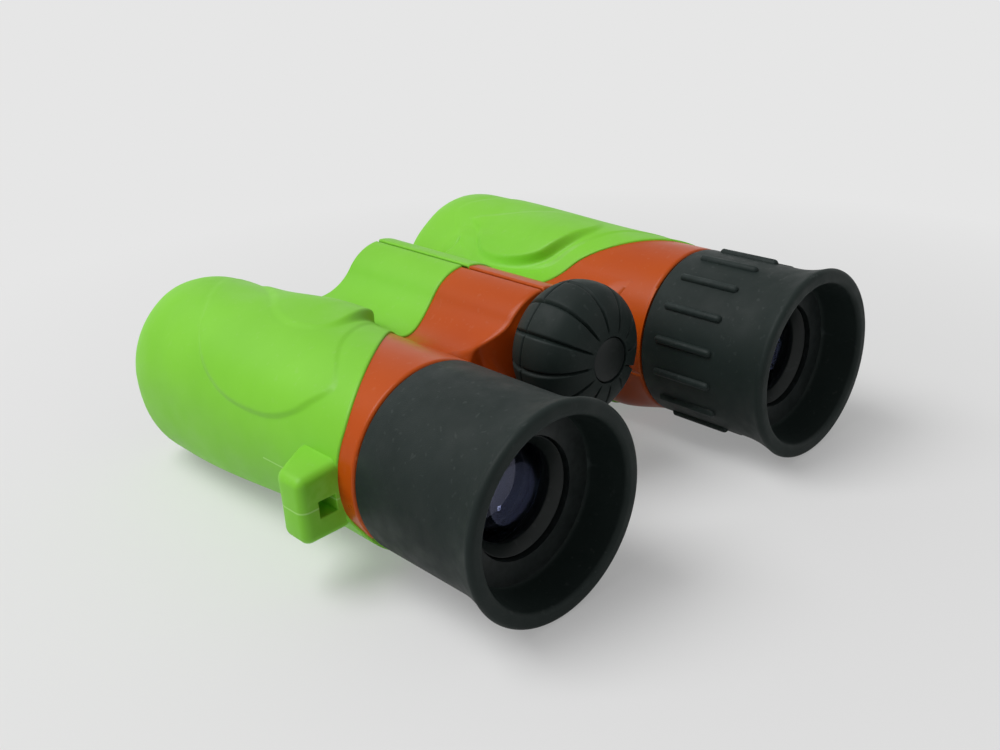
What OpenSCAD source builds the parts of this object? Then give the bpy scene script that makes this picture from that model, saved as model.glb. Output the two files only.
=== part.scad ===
// Child's roof-prism binoculars: two rubber-armoured barrels on a centre hinge.
// +Y is the viewing direction, +Z is up, and the origin is under the middle of the part.
// Places along a barrel are measured from the eyecup lips towards the objectives.

/* [Overall] */
// Distance between the barrel axes with the hinge fully open
barrel_spacing = 72; // [69:0.5:78]
// How far the hinge ridge lies below the top of the barrels
ridge_drop = 0.35; // [0:0.05:2]
// Length from the eyecup lips to the objective ends
total_length = 104.5; // [102:0.5:114]
// How far the right half folds down from the open stop, in degrees
fold_angle = 56; // [30:1:60]

/* [Barrel tube] */
// Wall of each barrel tube
tube_wall = 1.6; // [1.2:0.1:2]
// Thickness of the orange cover on the barrel
cover_skin = 1; // [0.8:0.1:1.4]
// Thickness of the green armour on the barrel, at its inner side
armor_skin = 1.4; // [1.1:0.1:2]
// Gap between a skin and the moulding under it
seat_gap = 0.15; // [0.1:0.05:0.2]
// Length of the rounded front end of a barrel
front_round = 8.5; // [5:0.5:10]
// How far the rounded front end draws in
front_inset = 2.5; // [1.5:0.1:3.5]
// Squareness of the lower inner corner of the armour: 2 is round
inner_power = 3.2; // [2:0.1:3.6]
// Squareness of the lower outer corner of the armour: 2 is round
corner_power = 2.6; // [2:0.1:3.6]

/* [Bridge and hinge] */
// Where the bridge starts, behind the focus knob
bridge_start = 37.5; // [36.5:0.5:40]
// Length of a barrel ahead of the bridge
front_length = 16.5; // [14:0.5:20]
// Radius of the valley between the hinge ridge and a barrel
valley_r = 11; // [9:0.5:13]
// Radius of the hollow under the bridge
hollow_r = 8; // [6:0.5:10]
// Wall of the hollow hinge shaft
shaft_wall = 0.9; // [0.7:0.1:1.2]
// Wall of the hinge knuckles round the shaft
knuckle_wall = 5.4; // [4.8:0.1:6]
// Thickness of the left skin on the hinge
hub_skin = 2; // [1.6:0.1:2.4]
// Thickness of the left skin where the right one laps over it
tuck_skin = 1; // [0.8:0.1:1.3]
// Thickness of the right skin that laps over the left one
lap_skin = 1.1; // [0.9:0.1:1.4]
// Length of the left knuckle between the right half's knuckle and the focus spool
front_knuckle = 3.8; // [3:0.2:5]
// Thickness of the hinge washers
washer_t = 0.5; // [0.4:0.1:0.8]

/* [Seam between armour and cover] */
// Place of the seam on the outer side of a barrel
seam_side = 33.6; // [32:0.2:36]
// Place of the seam in the valley
seam_valley = 56; // [52:0.5:60]
// Place of the seam on the hinge ridge
seam_hub = 58; // [54:0.5:62]

/* [Strap lug] */
// How far the lug stands out from the armour
lug_reach = 7.25; // [6:0.25:10]
// Height of the lug
lug_h = 13; // [11:0.5:15]
// Length of the lug at the barrel
lug_root = 10; // [8:0.5:12]
// Length of the lug at its outer face
lug_tip = 5.6; // [4:0.2:7]
// Width of the strap slot
slot_w = 3; // [2:0.1:3.5]
// Height of the strap slot
slot_h = 4.4; // [3:0.2:6]

/* [Eyepieces] */
// Length of an eyecup
cup_length = 29.3; // [27:0.1:31]
// Wall of an eyecup
cup_wall = 2.5; // [2.2:0.1:2.8]
// Depth of the eyecup hollow
cup_depth = 8; // [6.5:0.1:9]
// How far the eyecup lip flares out
lip_flare = 1.5; // [1:0.1:2]
// Width of the eyecup lip
lip_w = 2.9; // [2.4:0.1:3.2]
// Radius of the rounded edges of the eyecup lip
lip_round = 1; // [0.8:0.05:1.15]
// How much narrower the bore of the eyepiece spigot is than that of the barrel, as radii
spigot_step = 3; // [2.6:0.1:3.6]
// Wall of the eyepiece spigot
spigot_wall = 1.4; // [1:0.1:1.6]
// Wall of the sleeve that carries an eyecup
ring_wall = 1.8; // [1.4:0.1:2]
// Number of grip ribs on the right eyecup
rib_count = 16; // [8:1:20]
// Length of a grip rib
rib_length = 13.5; // [8:0.5:14]
// Width of a grip rib
rib_w = 1.6; // [1:0.1:2.4]
// Height of a grip rib
rib_h = 0.8; // [0.4:0.1:1.2]
// How far the diopter turns each way, in degrees
diopter_angle = 45; // [30:5:60]
// How far the right ocular slides each way
diopter_travel = 0.8; // [0.4:0.1:1]

/* [Optics] */
// Wall of an ocular tube
ocular_wall = 1.4; // [1.1:0.1:1.6]
// Width of the bevelled ring round the eye lens
retainer_w = 1.55; // [1.2:0.05:2]
// Clear radius of the objective lens
objective_clear_r = 10.5; // [10:0.1:11]
// Bore of the objective bezel, as a radius
bezel_bore_r = 11.6; // [11.2:0.1:12]
// Length of the bore in the objective bezel
bezel_length = 7.2; // [6.5:0.1:8]
// Width and height of the prisms
prism_w = 17; // [15:0.5:18]
// Wall of the prism cage at the corners of the prisms
cage_skin = 2.33; // [2:0.01:3]

/* [Focus] */
// Radius of the focus spindle
spindle_r = 2; // [1.8:0.05:2.3]
// Largest radius of the knob
knob_r = 12.8; // [11.5:0.1:13.4]
// Length of the knob
knob_length = 14.4; // [12:0.2:15]
// Number of grooves in the knob grip
knob_grooves = 12; // [8:1:18]
// How far the objectives slide each way
focus_travel = 1.5; // [1:0.1:2]
// Width of a focus arm
arm_w = 3.4; // [2.8:0.1:3.6]
// Thickness of a focus arm
arm_t = 2; // [1.6:0.1:2.4]

/* [Hidden] */
$fn = 64;
// Running clearance, seating clearance of small parts, and free clearance of moving skins
run_gap = 0.05;
fit_gap = 0.02;
free_gap = 0.3;
// Overrun of cuts
over = 1;

barrel_x = barrel_spacing / 2;
half_length = total_length / 2;

// Barrel radii: the prisms set the size of their cage, and the cage sets the bore of the barrel
lens_seat = 0.2;
cage_bore_r = norm([prism_w / 2, prism_w / 2]) + lens_seat;
cage_r = cage_bore_r + cage_skin;
tube_bore_r = cage_r + run_gap;
tube_r = tube_bore_r + tube_wall;
skin_r = tube_r + seat_gap;
cover_r = skin_r + cover_skin;
armor_r = skin_r + armor_skin;

// Eyepiece radii, from the spigot bore outwards
spigot_bore_r = tube_bore_r - spigot_step;
spigot_r = spigot_bore_r + spigot_wall;
ring_bore_r = spigot_r + run_gap;
ring_r = ring_bore_r + ring_wall;
cup_bore_r = ring_r + run_gap;
cup_r = cup_bore_r + cup_wall;
lip_r = cup_r + lip_flare;
mouth_r = lip_r - lip_w;
// The armour crown reaches as low as the lips, so that the part lies flat
crown = lip_r - armor_r;
axis_z = lip_r;

// Hinge radii, from the spindle outwards
shaft_bore_r = spindle_r + run_gap;
shaft_r = shaft_bore_r + shaft_wall;
knuckle_r = shaft_r + run_gap + knuckle_wall;
hub_in_r = knuckle_r + seat_gap;
hub_r = hub_in_r + hub_skin;
tuck_r = hub_in_r + tuck_skin;
lap_gap = 0.4;
lap_in_r = tuck_r + lap_gap;
lap_r = lap_in_r + lap_skin;
// The hinge axis lies so high that its ridge is about level with the barrels
hinge_rise = lip_r - hub_r - ridge_drop;
axis_distance = norm([barrel_x, hinge_rise]);
tilt = atan2(hinge_rise, barrel_x);
// The cover lies this much below the armour
armor_step = armor_skin - cover_skin;

// Places along the barrels
tube_start = cup_length + free_gap;
front_lip = 3.4;
tube_end = total_length - front_lip;
edge_round = 1;
edge_steps = 2;
armor_edge_share = 0.6;
cover_edge_share = 0.8;
parting_gap = 0.12;
bridge_end = total_length - front_length;
washer_gap = 0.05;
washer_room = washer_t + 2 * washer_gap;
valley_set_back = 3.5;
bridge_valley = bridge_start + valley_set_back;

// Focus chain along the hinge, built back from the front of the bridge
cap_t = 1.3;
cap_lip = 0.8;
spool_length = 6;
spool_mid = bridge_end - cap_t - free_gap - focus_travel - spool_length / 2;
cavity_start = spool_mid - spool_length / 2 - focus_travel - free_gap;
shaft_end = cavity_start - free_gap;
// Ends of the right half's knuckle, between the two of the left half
rear_knuckle_share = 0.41;
knuckle_b = cavity_start - front_knuckle;
knuckle_a = mix(bridge_start, knuckle_b, rear_knuckle_share);
cavity_wall = 2;
cavity_r = knuckle_r - cavity_wall;
spool_r = cavity_r - free_gap;
groove_depth = 1.8;
groove_r = spool_r - groove_depth;
thread_step = 0.5;
thread_r = spindle_r + thread_step;
key_w = 1.6;
key_h = 1;
arm_tip_r = groove_r + free_gap;
arm_gap = 0.15;
arm_slot_gap = 0.4;
groove_w = arm_t + 2 * arm_gap;

// Objective cell and bezel
bezel_end = total_length - arm_slot_gap;
bezel_start = bezel_end - bezel_length;
bezel_nose_wall = 1.4;
bezel_nose_r = bezel_bore_r + bezel_nose_wall;
lip_bore_r = bezel_nose_r + seat_gap;
slide_r = tube_bore_r - run_gap;
cell_end = bezel_start - focus_travel - free_gap;
cell_start = spool_mid - arm_t;
lens_ledge = 0.8;
objective_r = objective_clear_r + lens_ledge;
objective_t = 5;
retainer_t = 1.2;
objective_back = cell_end - retainer_t - lens_seat - objective_t;

// Ocular
floor_t = 1.6;
spigot_start = cup_depth + floor_t + diopter_travel + over;
ocular_r = spigot_bore_r - run_gap;
ocular_bore_r = ocular_r - ocular_wall;
eye_clear_r = ocular_bore_r - retainer_w;
ocular_start = cup_depth + floor_t + diopter_travel + free_gap;
ocular_length = 30;
retainer_rise = 1.7;
retainer_skirt = 0.9;
floor_bore_r = ocular_bore_r + free_gap + seat_gap;
eye_lens_t = 5;
eye_lens_start = ocular_start + retainer_skirt + seat_gap;
field_lens_start = 24;
field_lens_t = 5;
field_stop_start = 36;
field_stop_t = 1.5;
field_stop_r = 6;

// Prisms, in a cage between the ocular and the objective cell
cage_wall = 1.2;
cage_air = 2;
cage_start = ocular_start + ocular_length + cage_air;
cage_end = cell_start - focus_travel - cage_air;
cage_window_r = 7;
half_prism_share = 0.42;
prism_slope_share = 0.3;
prism_air = 0.4;

// Knob, ahead of the bridge
knob_gap = 2.2;
knob_end = bridge_start - knob_gap;
knob_start = knob_end - knob_length;
grip_t = 1.6;
groove_cut_w = 0.8;
groove_cut_depth = 0.7;
groove_end = 0.8;
disc_t = 2;
screw_head_r = 2.6;
screw_head_t = 1.2;
screw_r = 1;
screw_web = 0.8;
screw_length = 5;
spindle_start = knob_start + disc_t + screw_head_t + screw_web;

// Knob profile: places as shares of its length, radii as shares of its radius
knob_shares = [[0, 0.34], [0.03, 0.5], [0.11, 0.71], [0.26, 0.89], [0.42, 0.975], [0.58, 1],
    [0.74, 0.985], [0.88, 0.93], [1, 0.84]];
// Armour: share of the crown at the eyepiece end, and where it is full, along the barrel
crown_start_share = 0.25;
crown_full_share = 0.75;
// Share by which the rounded front end turns round
front_draw_share = 0.6;
// Length over which the lower inner corner grows square
corner_run = 10;
// How quickly the seam climbs over the barrel, and the section angles where it turns
seam_power = 1.7;
seam_turn_angle = 150;
seam_drop_angle = 196;
seam_low_angle = 214;
crown_ramp_angle = 40;
// Hub angles of the skin edges: the left skin runs on under the lap of the right one
lap_edge_angle = 91.5;
step_edge_angle = 90.5;
tuck_spare_angle = 6;
tuck_edge_angle = 90 - fold_angle - tuck_spare_angle;
lap_turn_angle = 14;
edge_turn_angle = 0.7;
// Counts of points round the skins and rows along them
tuck_steps = 5;
hub_steps = 10;
valley_steps = 7;
barrel_steps = 40;
hollow_steps = 6;
armor_rows = 13;
cover_rows = 5;
rim_steps = 56;
rim_rows_straight = 2;
rim_rows_round = 6;
wedge_steps = 6;
stop_steps = 24;

// Colours as the photo shows them
green = [0.52, 0.79, 0.29];
orange = [0.75, 0.36, 0.15];
rubber = [0.17, 0.2, 0.2];
black = [0.1, 0.11, 0.12];
glass = [0.3, 0.34, 0.5];
steel = [0.7, 0.71, 0.73];
brass = [0.78, 0.64, 0.32];

// Frames. A piece is written for the left half and mirrored for the right one.
module on_right() mirror([1, 0, 0]) children();

// Along the left barrel: z runs from the lips to the objective, x points at the hinge
module along_barrel() translate([-barrel_x, -half_length, axis_z]) rotate([-90, 0, 0]) children();

// Along the hinge axis, in the same way
module along_hinge() translate([0, -half_length, axis_z + hinge_rise]) rotate([-90, 0, 0]) children();

// A slab of a section of the left half, between two places along the barrel
module slab(from, to)
    translate([-barrel_x, to - half_length, axis_z]) rotate([90, 0, 0]) linear_extrude(to - from) children();

module turned(points) rotate_extrude() polygon(points);

module rod(r, from, to) translate([0, 0, from]) cylinder(r = r, h = to - from);

module pipe(r, bore, from, to)
    difference() {
        rod(r, from, to);
        rod(bore, from - over, to + over);
    }

function arc(centre, r, from, to, steps) =
    [for (i = [0:steps]) let (a = from + (to - from) * i / steps) centre + r * [cos(a), sin(a)]];

function ease(t) = let (c = min(1, max(0, t))) c * c * (3 - 2 * c);

function mix(a, b, t) = a + (b - a) * t;

// Section of the left half, from the barrel axis: x points at the hinge, y is up
hinge_point = [barrel_x, hinge_rise];

// Circle that touches a barrel circle and a hub circle, above or below the line between them:
// its centre, and the angles at which it touches the barrel and the hub
function blend_circle(barrel, hub, r, side) =
    let (
        along = ((barrel + r) ^ 2 - (hub + r) ^ 2 + axis_distance ^ 2) / (2 * axis_distance),
        touch = tilt + side * acos(along / (barrel + r)),
        centre = (barrel + r) * [cos(touch), sin(touch)],
        reach = centre - hinge_point
    )
    [centre, touch, (atan2(reach.y, reach.x) + 360) % 360];

// Reach of the armour from the barrel axis at a section angle and a place along the barrel
function crown_share(place) =
    mix(crown_start_share, 1, ease((place - tube_start) / (crown_full_share * total_length - tube_start)));

function shaped_r(barrel, swell, angle, place, touch_up, touch_low) =
    let (
        share = crown_share(place),
        ramp = min(ease((angle - touch_up) / crown_ramp_angle), ease((touch_low - angle) / crown_ramp_angle)),
        corner = angle > 270 ? mix(2, inner_power, ramp * ease((place - tube_start) / corner_run)) :
            angle > 180 ? mix(2, corner_power, share) : 2
    )
    (barrel + swell * share * ramp) / (abs(cos(angle)) ^ corner + abs(sin(angle)) ^ corner) ^ (1 / corner);

// A skin section: barrel radius, swell, hub radius, valley circle, hollow circle, hub angle of its edge,
// the radii of valley and hollow, and the radius and end of the part that is tucked under the other half
function section(barrel, swell, hub, valley, hollow, edge, tuck, tuck_end) =
    [barrel, swell, hub, blend_circle(barrel, hub, valley, 1), blend_circle(barrel, hub, hollow, -1), edge,
     valley, hollow, tuck, tuck_end];

skin_stations = hub_steps + valley_steps + barrel_steps + hollow_steps;
barrel_from = hub_steps + valley_steps;
barrel_to = barrel_from + barrel_steps;

function station_angle(sec, i) =
    let (up = sec[3][1], low = sec[4][1] + 360)
    i <= barrel_from ? up :
    i >= barrel_to ? low :
        mix(up + edge_turn_angle, low - edge_turn_angle, (i - barrel_from - 1) / (barrel_steps - 2));

// Point of a skin section at station i: down the hub, through the valley, round the barrel
// and up the hollow
function section_point(sec, i, place) =
    i < tuck_steps ?
        let (a = mix(sec[5], sec[9] - edge_turn_angle, i / (tuck_steps - 1)))
        hinge_point + sec[8] * [cos(a), sin(a)] :
    i < hub_steps ?
        let (a = mix(sec[9], sec[3][2], (i - tuck_steps) / (hub_steps - tuck_steps)))
        hinge_point + sec[2] * [cos(a), sin(a)] :
    i < barrel_from ?
        let (a = mix(sec[3][2] - 180, sec[3][1] - 180, (i - hub_steps) / valley_steps))
        sec[3][0] + sec[6] * [cos(a), sin(a)] :
    i <= barrel_to ?
        let (a = station_angle(sec, i))
        shaped_r(sec[0], sec[1], a, place, sec[3][1], sec[4][1] + 360) * [cos(a), sin(a)] :
        let (a = mix(sec[4][1] + 180, sec[4][2] - 180, (i - barrel_to) / hollow_steps))
        sec[4][0] + sec[7] * [cos(a), sin(a)];

// Where the bridge and the cover start, at station i
function skin_start(i) =
    let (t = max(0, i - tuck_steps) / (hub_steps - tuck_steps))
    i <= hub_steps ? mix(bridge_start, bridge_valley, t ^ 2) :
    i <= barrel_from || i >= barrel_to ? bridge_valley : tube_start;

// Where the armour meets the cover, at station i
function seam(sec, i) =
    let (a = station_angle(sec, i), t = (seam_turn_angle - a) / (seam_turn_angle - sec[3][1]))
    i < hub_steps ? seam_hub :
    i < barrel_from ? mix(seam_hub, seam_valley, ease((i - hub_steps) / valley_steps)) :
    a < seam_turn_angle ? seam_side + (seam_valley - seam_side) * t ^ seam_power :
    a < seam_drop_angle ? seam_side :
        let (drop = (a - seam_drop_angle) / (seam_low_angle - seam_drop_angle))
        mix(seam_side, tube_start + edge_round, ease(drop));

function armor_start(sec, i) = max(seam(sec, i), skin_start(i)) + parting_gap;

// A skin between two sections: the outer face in rows, the inner face from end to end
// Each row is [share of the length, length beyond that share, share of the thickness that is rounded off]
module skin(outer, inner, starts, ends, rows, last) {
    count = last + 1;
    row_count = len(rows);
    outer_points = [for (row = rows, i = [0:last])
        let (
            place = mix(starts[i], ends[i], row[0]) + row[1],
            p = mix(section_point(outer, i, place), section_point(inner, i, place), row[2])
        ) [p.x - barrel_x, place - half_length, p.y + axis_z]];
    inner_points = [for (end = [0, 1], i = [0:last])
        let (place = end == 0 ? starts[i] : ends[i], p = section_point(inner, i, place))
        [p.x - barrel_x, place - half_length, p.y + axis_z]];
    base = count * row_count;
    top = count * (row_count - 1);
    far = base + count;
    faces = concat(
        [for (r = [0:row_count - 2], i = [0:last - 1]) let (a = r * count + i)
            each [[a, a + 1, a + count], [a + 1, a + count + 1, a + count]]],
        [for (i = [0:last - 1]) let (a = base + i)
            each [[a, a + count, a + 1], [a + 1, a + count, a + count + 1]]],
        [for (i = [0:last - 1]) each [[i, base + i, i + 1], [i + 1, base + i, base + i + 1]]],
        [for (i = [0:last - 1])
            each [[top + i, top + i + 1, far + i], [top + i + 1, far + i + 1, far + i]]],
        [for (r = [0:row_count - 2]) let (a = r * count)
            each [[far, a, a + count], [far + last, a + count + last, a + last]]],
        [[far, base, 0], [far + last, last, base + last]]);
    polyhedron(concat(outer_points, inner_points), faces);
}

// Rows of the armour: a small round at the seam, then even steps to the front
armor_row_list = concat(
    [for (i = [0:edge_steps]) let (turn = 90 * i / edge_steps)
        [0, edge_round * sin(turn), armor_edge_share * (1 - cos(90 - turn))]],
    [for (r = [1:armor_rows]) [r / armor_rows, 0, 0]]);

// Rows of the cover: a full round at the eyepiece end, a sharp edge under the armour
cover_row_list = concat(
    [for (i = [0:edge_steps]) let (turn = 90 * i / edge_steps)
        [0, edge_round * sin(turn), cover_edge_share * (1 - cos(90 - turn))]],
    [for (r = [1:cover_rows]) [r / cover_rows, 0, 0]]);

left_inner = section(skin_r, 0, hub_in_r, valley_r + armor_skin, hollow_r + armor_skin, tuck_edge_angle,
    hub_in_r, step_edge_angle);
left_outer = section(armor_r, crown, hub_r, valley_r, hollow_r, tuck_edge_angle, tuck_r, step_edge_angle);
left_cover_outer = section(cover_r, crown, hub_r - armor_step, valley_r + armor_step, hollow_r,
    tuck_edge_angle, tuck_r, step_edge_angle);
right_inner = section(skin_r, 0, lap_in_r, valley_r + armor_skin, hollow_r + armor_skin, lap_edge_angle,
    lap_in_r, lap_edge_angle + lap_turn_angle);
right_outer = section(armor_r, crown, lap_r, valley_r, hollow_r, lap_edge_angle, lap_r,
    lap_edge_angle + lap_turn_angle);
right_cover_outer = section(cover_r, crown, lap_r - armor_step, valley_r + armor_step, hollow_r,
    lap_edge_angle, lap_r - armor_step, lap_edge_angle + lap_turn_angle);

cover_last = max([for (i = [0:barrel_to]) station_angle(left_outer, i) < seam_low_angle ? i : 0]);

module armor_skin_of(outer, inner)
    skin(outer, inner,
        [for (i = [0:skin_stations]) armor_start(outer, i)],
        [for (i = [0:skin_stations]) bridge_end], armor_row_list, skin_stations);

module cover_skin_of(outer, inner, armor)
    color(orange)
        skin(outer, inner,
            [for (i = [0:cover_last]) skin_start(i)],
            [for (i = [0:cover_last]) armor_start(armor, i) - 2 * parting_gap], cover_row_list, cover_last);

module left_cover() cover_skin_of(left_cover_outer, left_inner, left_outer);
module right_cover() on_right() cover_skin_of(right_cover_outer, right_inner, right_outer);

// The strap lug on the outer side of the armour, with the slot next to the barrel
lug_start = seam_side + edge_round;
lug_drop = 1.6;
lug_root_r = cover_r;
lug_corner = 2.6;
lug_r = armor_r + lug_reach;
// Share of the lug beside the slot that lies on the slot's barrel side
slot_wall_share = 0.21;
slot_in = armor_r + slot_wall_share * (lug_reach - slot_w);

module lug_plan()
    polygon([[lug_root_r, lug_start], [lug_r, lug_start], [lug_r, lug_start + lug_tip],
        [armor_r, lug_start + lug_root], [lug_root_r, lug_start + lug_root]]);

module lug_front() {
    square([lug_r - lug_corner, lug_h]);
    translate([0, lug_corner]) square([lug_r, lug_h - lug_corner]);
    translate([lug_r - lug_corner, lug_corner]) circle(lug_corner);
}

module strap_lug()
    along_barrel() rotate([0, 0, 180]) difference() {
        intersection() {
            translate([0, lug_h / 2 - lug_drop, 0]) rotate([90, 0, 0]) linear_extrude(lug_h) lug_plan();
            translate([0, -lug_h / 2 - lug_drop, lug_start - over])
                linear_extrude(lug_root + 2 * over) lug_front();
        }
        translate([slot_in, -slot_h / 2 - lug_drop, lug_start - over])
            cube([slot_w, slot_h, lug_root + 2 * over]);
    }

module left_armor() color(green) {
    armor_skin_of(left_outer, left_inner);
    strap_lug();
}

module right_armor() color(green) on_right() {
    armor_skin_of(right_outer, right_inner);
    strap_lug();
}

// The front rim carries the armour's shape on round the objective, with a rounded end
// Each row is [place, share of the front's inset, radius when it is a bore]
rim_start = bridge_end + parting_gap;
rim_round_start = total_length - front_round;
rim_rows = concat(
    [for (i = [0:rim_rows_straight]) [mix(rim_start, rim_round_start, i / rim_rows_straight), 0, 0]],
    [for (i = [1:rim_rows_round]) let (turn = 90 * i / rim_rows_round)
        [rim_round_start + front_round * sin(turn), 1 - cos(turn), 0]],
    [[total_length, 0, lip_bore_r], [tube_end + seat_gap, 0, lip_bore_r],
     [tube_end + seat_gap, 0, skin_r], [rim_start, 0, skin_r]]);

module front_rim() color(green) {
    row_count = len(rim_rows);
    points = [for (row = rim_rows, i = [0:rim_steps - 1])
        let (
            a = left_outer[3][1] + 360 * i / rim_steps,
            r = row[2] > 0 ? row[2] :
                mix(shaped_r(armor_r, crown, a, row[0], left_outer[3][1], left_outer[4][1] + 360),
                    armor_r + crown, row[1] * front_draw_share) - row[1] * front_inset
        ) [r * cos(a) - barrel_x, row[0] - half_length, r * sin(a) + axis_z]];
    faces = [for (r = [0:row_count - 1], i = [0:rim_steps - 1])
        let (
            next = (i + 1) % rim_steps,
            here = r * rim_steps,
            there = ((r + 1) % row_count) * rim_steps
        )
        each [[here + i, here + next, there + i], [here + next, there + next, there + i]]];
    polyhedron(points, faces);
}

module left_front_rim() front_rim();
module right_front_rim() on_right() front_rim();

// Section of a bridge web: between the two tangent circles, from the barrel axis to the hinge axis
module web_section(hub) {
    up = blend_circle(tube_r, hub, valley_r + armor_skin + seat_gap, 1);
    low = blend_circle(tube_r, hub, hollow_r + armor_skin + seat_gap, -1);
    difference() {
        polygon([[0, 0], low[0], hinge_point, up[0]]);
        translate(up[0]) circle(valley_r + armor_skin + seat_gap);
        translate(low[0]) circle(hollow_r + armor_skin + seat_gap);
    }
}

module hinge_circle(r) translate(hinge_point) circle(r);

// A wedge of the hinge section between two hub angles
module hinge_wedge(r, from, to)
    translate(hinge_point) polygon(concat([[0, 0]], arc([0, 0], r, from, to, wedge_steps)));

module barrel_tube()
    along_barrel() turned([
        [spigot_bore_r, spigot_start], [spigot_r, spigot_start], [spigot_r, tube_start],
        [tube_r, tube_start], [tube_r, tube_end], [tube_bore_r, tube_end],
        [tube_bore_r, tube_start + tube_wall], [spigot_bore_r, tube_start + tube_wall]]);

// The slot in tube and web that a focus arm passes through
arm_room = focus_travel + arm_slot_gap + arm_t / 2;

module arm_tunnel()
    along_barrel() rotate([0, 0, -tilt])
        translate([tube_bore_r - over, -arm_w / 2 - arm_slot_gap, spool_mid - arm_room])
            cube([axis_distance - tube_bore_r + over, arm_w + 2 * arm_slot_gap, 2 * arm_room]);

// Hub angles of the link between the middle knuckle and the right web, and a reach past the hinge
link_spare_angle = 2;
link_from_angle = 180 - tuck_edge_angle + 3 * link_spare_angle;
link_to_angle = 218;
wedge_r = 2 * lap_r;

// Hub angles that the right focus arm sweeps
arm_half_angle = asin((arm_w / 2 + arm_slot_gap) / arm_tip_r);

// The part of the barrel between the eyepiece and the bridge that faces the hinge, level with the cover
collar_gap = 0.6;

module collar_section()
    difference() {
        intersection() {
            circle(cover_r);
            polygon(concat([[0, 0]], arc([0, 0], lug_r, left_outer[4][1] + collar_gap,
                left_outer[3][1] - collar_gap, wedge_steps)));
        }
        circle(tube_r - tube_wall / 2);
    }

module collar() slab(tube_start, bridge_valley) collar_section();

module left_chassis() color(orange)
    difference() {
        union() {
            barrel_tube();
            collar();
            difference() {
                union() {
                    slab(bridge_valley, bridge_end) web_section(knuckle_r);
                    slab(bridge_start, bridge_end) hinge_circle(knuckle_r);
                }
                slab(knuckle_a, knuckle_b) hinge_circle(knuckle_r + free_gap);
                along_barrel() rod(tube_r - tube_wall / 2, bridge_start - over, bridge_end + over);
            }
        }
        along_hinge() {
            rod(shaft_r + fit_gap, bridge_start - over, shaft_end);
            rod(spindle_r + run_gap, bridge_start - over, bridge_end);
            rod(cavity_r, cavity_start, bridge_end + over);
            translate([-key_w / 2 - arm_gap, -cavity_r - key_h, cavity_start])
                cube([key_w + 2 * arm_gap, cavity_r, bridge_end - cap_t - cavity_start]);
        }
        arm_tunnel();
        slab(spool_mid - arm_room, spool_mid + arm_room)
            hinge_wedge(knuckle_r + over, -tilt - fold_angle - arm_half_angle, -tilt + arm_half_angle);
    }

module right_chassis() color(orange) on_right()
    difference() {
        union() {
            barrel_tube();
            collar();
            stop_tab();
            difference() {
                slab(bridge_valley, bridge_end) web_section(lap_in_r - seat_gap);
                slab(bridge_start - over, bridge_end + over) {
                    hinge_circle(knuckle_r + free_gap);
                    intersection() {
                        hinge_circle(lap_in_r + over);
                        hinge_wedge(wedge_r, tuck_edge_angle, link_from_angle - link_spare_angle);
                    }
                }
                along_barrel() rod(tube_r - tube_wall / 2, bridge_start - over, bridge_end + over);
            }
            slab(knuckle_a + washer_room, knuckle_b - washer_room) {
                hinge_circle(knuckle_r);
                hinge_wedge(lap_in_r - seat_gap, link_from_angle, link_to_angle);
            }
        }
        along_hinge() rod(shaft_r + run_gap, bridge_start - over, bridge_end + over);
        arm_tunnel();
    }

// Objective bezel: its bore takes a push-in dust cap
module objective_bezel() color(black)
    along_barrel() turned([
        [bezel_bore_r, bezel_start], [slide_r, bezel_start], [slide_r, tube_end],
        [bezel_nose_r, tube_end], [bezel_nose_r, bezel_end], [bezel_bore_r, bezel_end]]);

module left_objective_bezel() objective_bezel();
module right_objective_bezel() on_right() objective_bezel();

// Rubber eyecup: a straight sleeve, a flare and a rounded lip
flare_start = 9;
flare_steps = 5;
lip_steps = 5;
floor_taper = 0.85;

module eyecup_body()
    turned(concat(
        [[cup_bore_r, cup_length], [cup_r, cup_length]],
        [for (i = [0:flare_steps]) let (t = i / flare_steps)
            [mix(cup_r, lip_r, t ^ 2), mix(flare_start, lip_round, t)]],
        arc([lip_r - lip_round, lip_round], lip_round, 0, -90, lip_steps),
        arc([mouth_r + lip_round, lip_round], lip_round, -90, -180, lip_steps),
        [[mouth_r - floor_taper, cup_depth], [cup_bore_r, cup_depth]]));

rib_start = 12.5;
rib_root = 0.5;
rib_phase_share = 0.3;

module grip_rib()
    translate([cup_r - rib_root, 0, rib_start + rib_w / 2]) rotate([0, 90, 0])
        linear_extrude(rib_h + rib_root) {
            translate([rib_w - rib_length, -rib_w / 2]) square([rib_length - rib_w, rib_w]);
            circle(rib_w / 2);
            translate([rib_w - rib_length, 0]) circle(rib_w / 2);
        }

module left_eyecup() color(rubber) along_barrel() eyecup_body();

module right_eyecup() color(rubber) on_right() along_barrel() {
    eyecup_body();
    for (i = [0:rib_count - 1]) rotate([0, 0, 360 * (i + rib_phase_share) / rib_count]) grip_rib();
}

module eyepiece_ring() color(black)
    along_barrel() turned([
        [floor_bore_r, cup_depth], [ring_r, cup_depth], [ring_r, cup_length], [ring_bore_r, cup_length],
        [ring_bore_r, cup_depth + floor_t], [floor_bore_r, cup_depth + floor_t]]);

// The diopter stop: a tab on the right spigot in a notch of the sleeve
tab_r = ring_bore_r + ring_wall / 2;
tab_length = 2.5;
tab_angle = 8;
stop_spare_angle = 1;
stop_angle = tab_angle + diopter_angle + stop_spare_angle;

module stop_tab()
    along_barrel() translate([0, 0, tube_start - tab_length])
        linear_extrude(tab_length) difference() {
            intersection() {
                circle(tab_r);
                polygon(concat([[0, 0]], arc([0, 0], lug_r, -tab_angle, tab_angle, wedge_steps)));
            }
            circle(spigot_r - spigot_wall / 2);
        }

module left_eyepiece_ring() eyepiece_ring();

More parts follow.
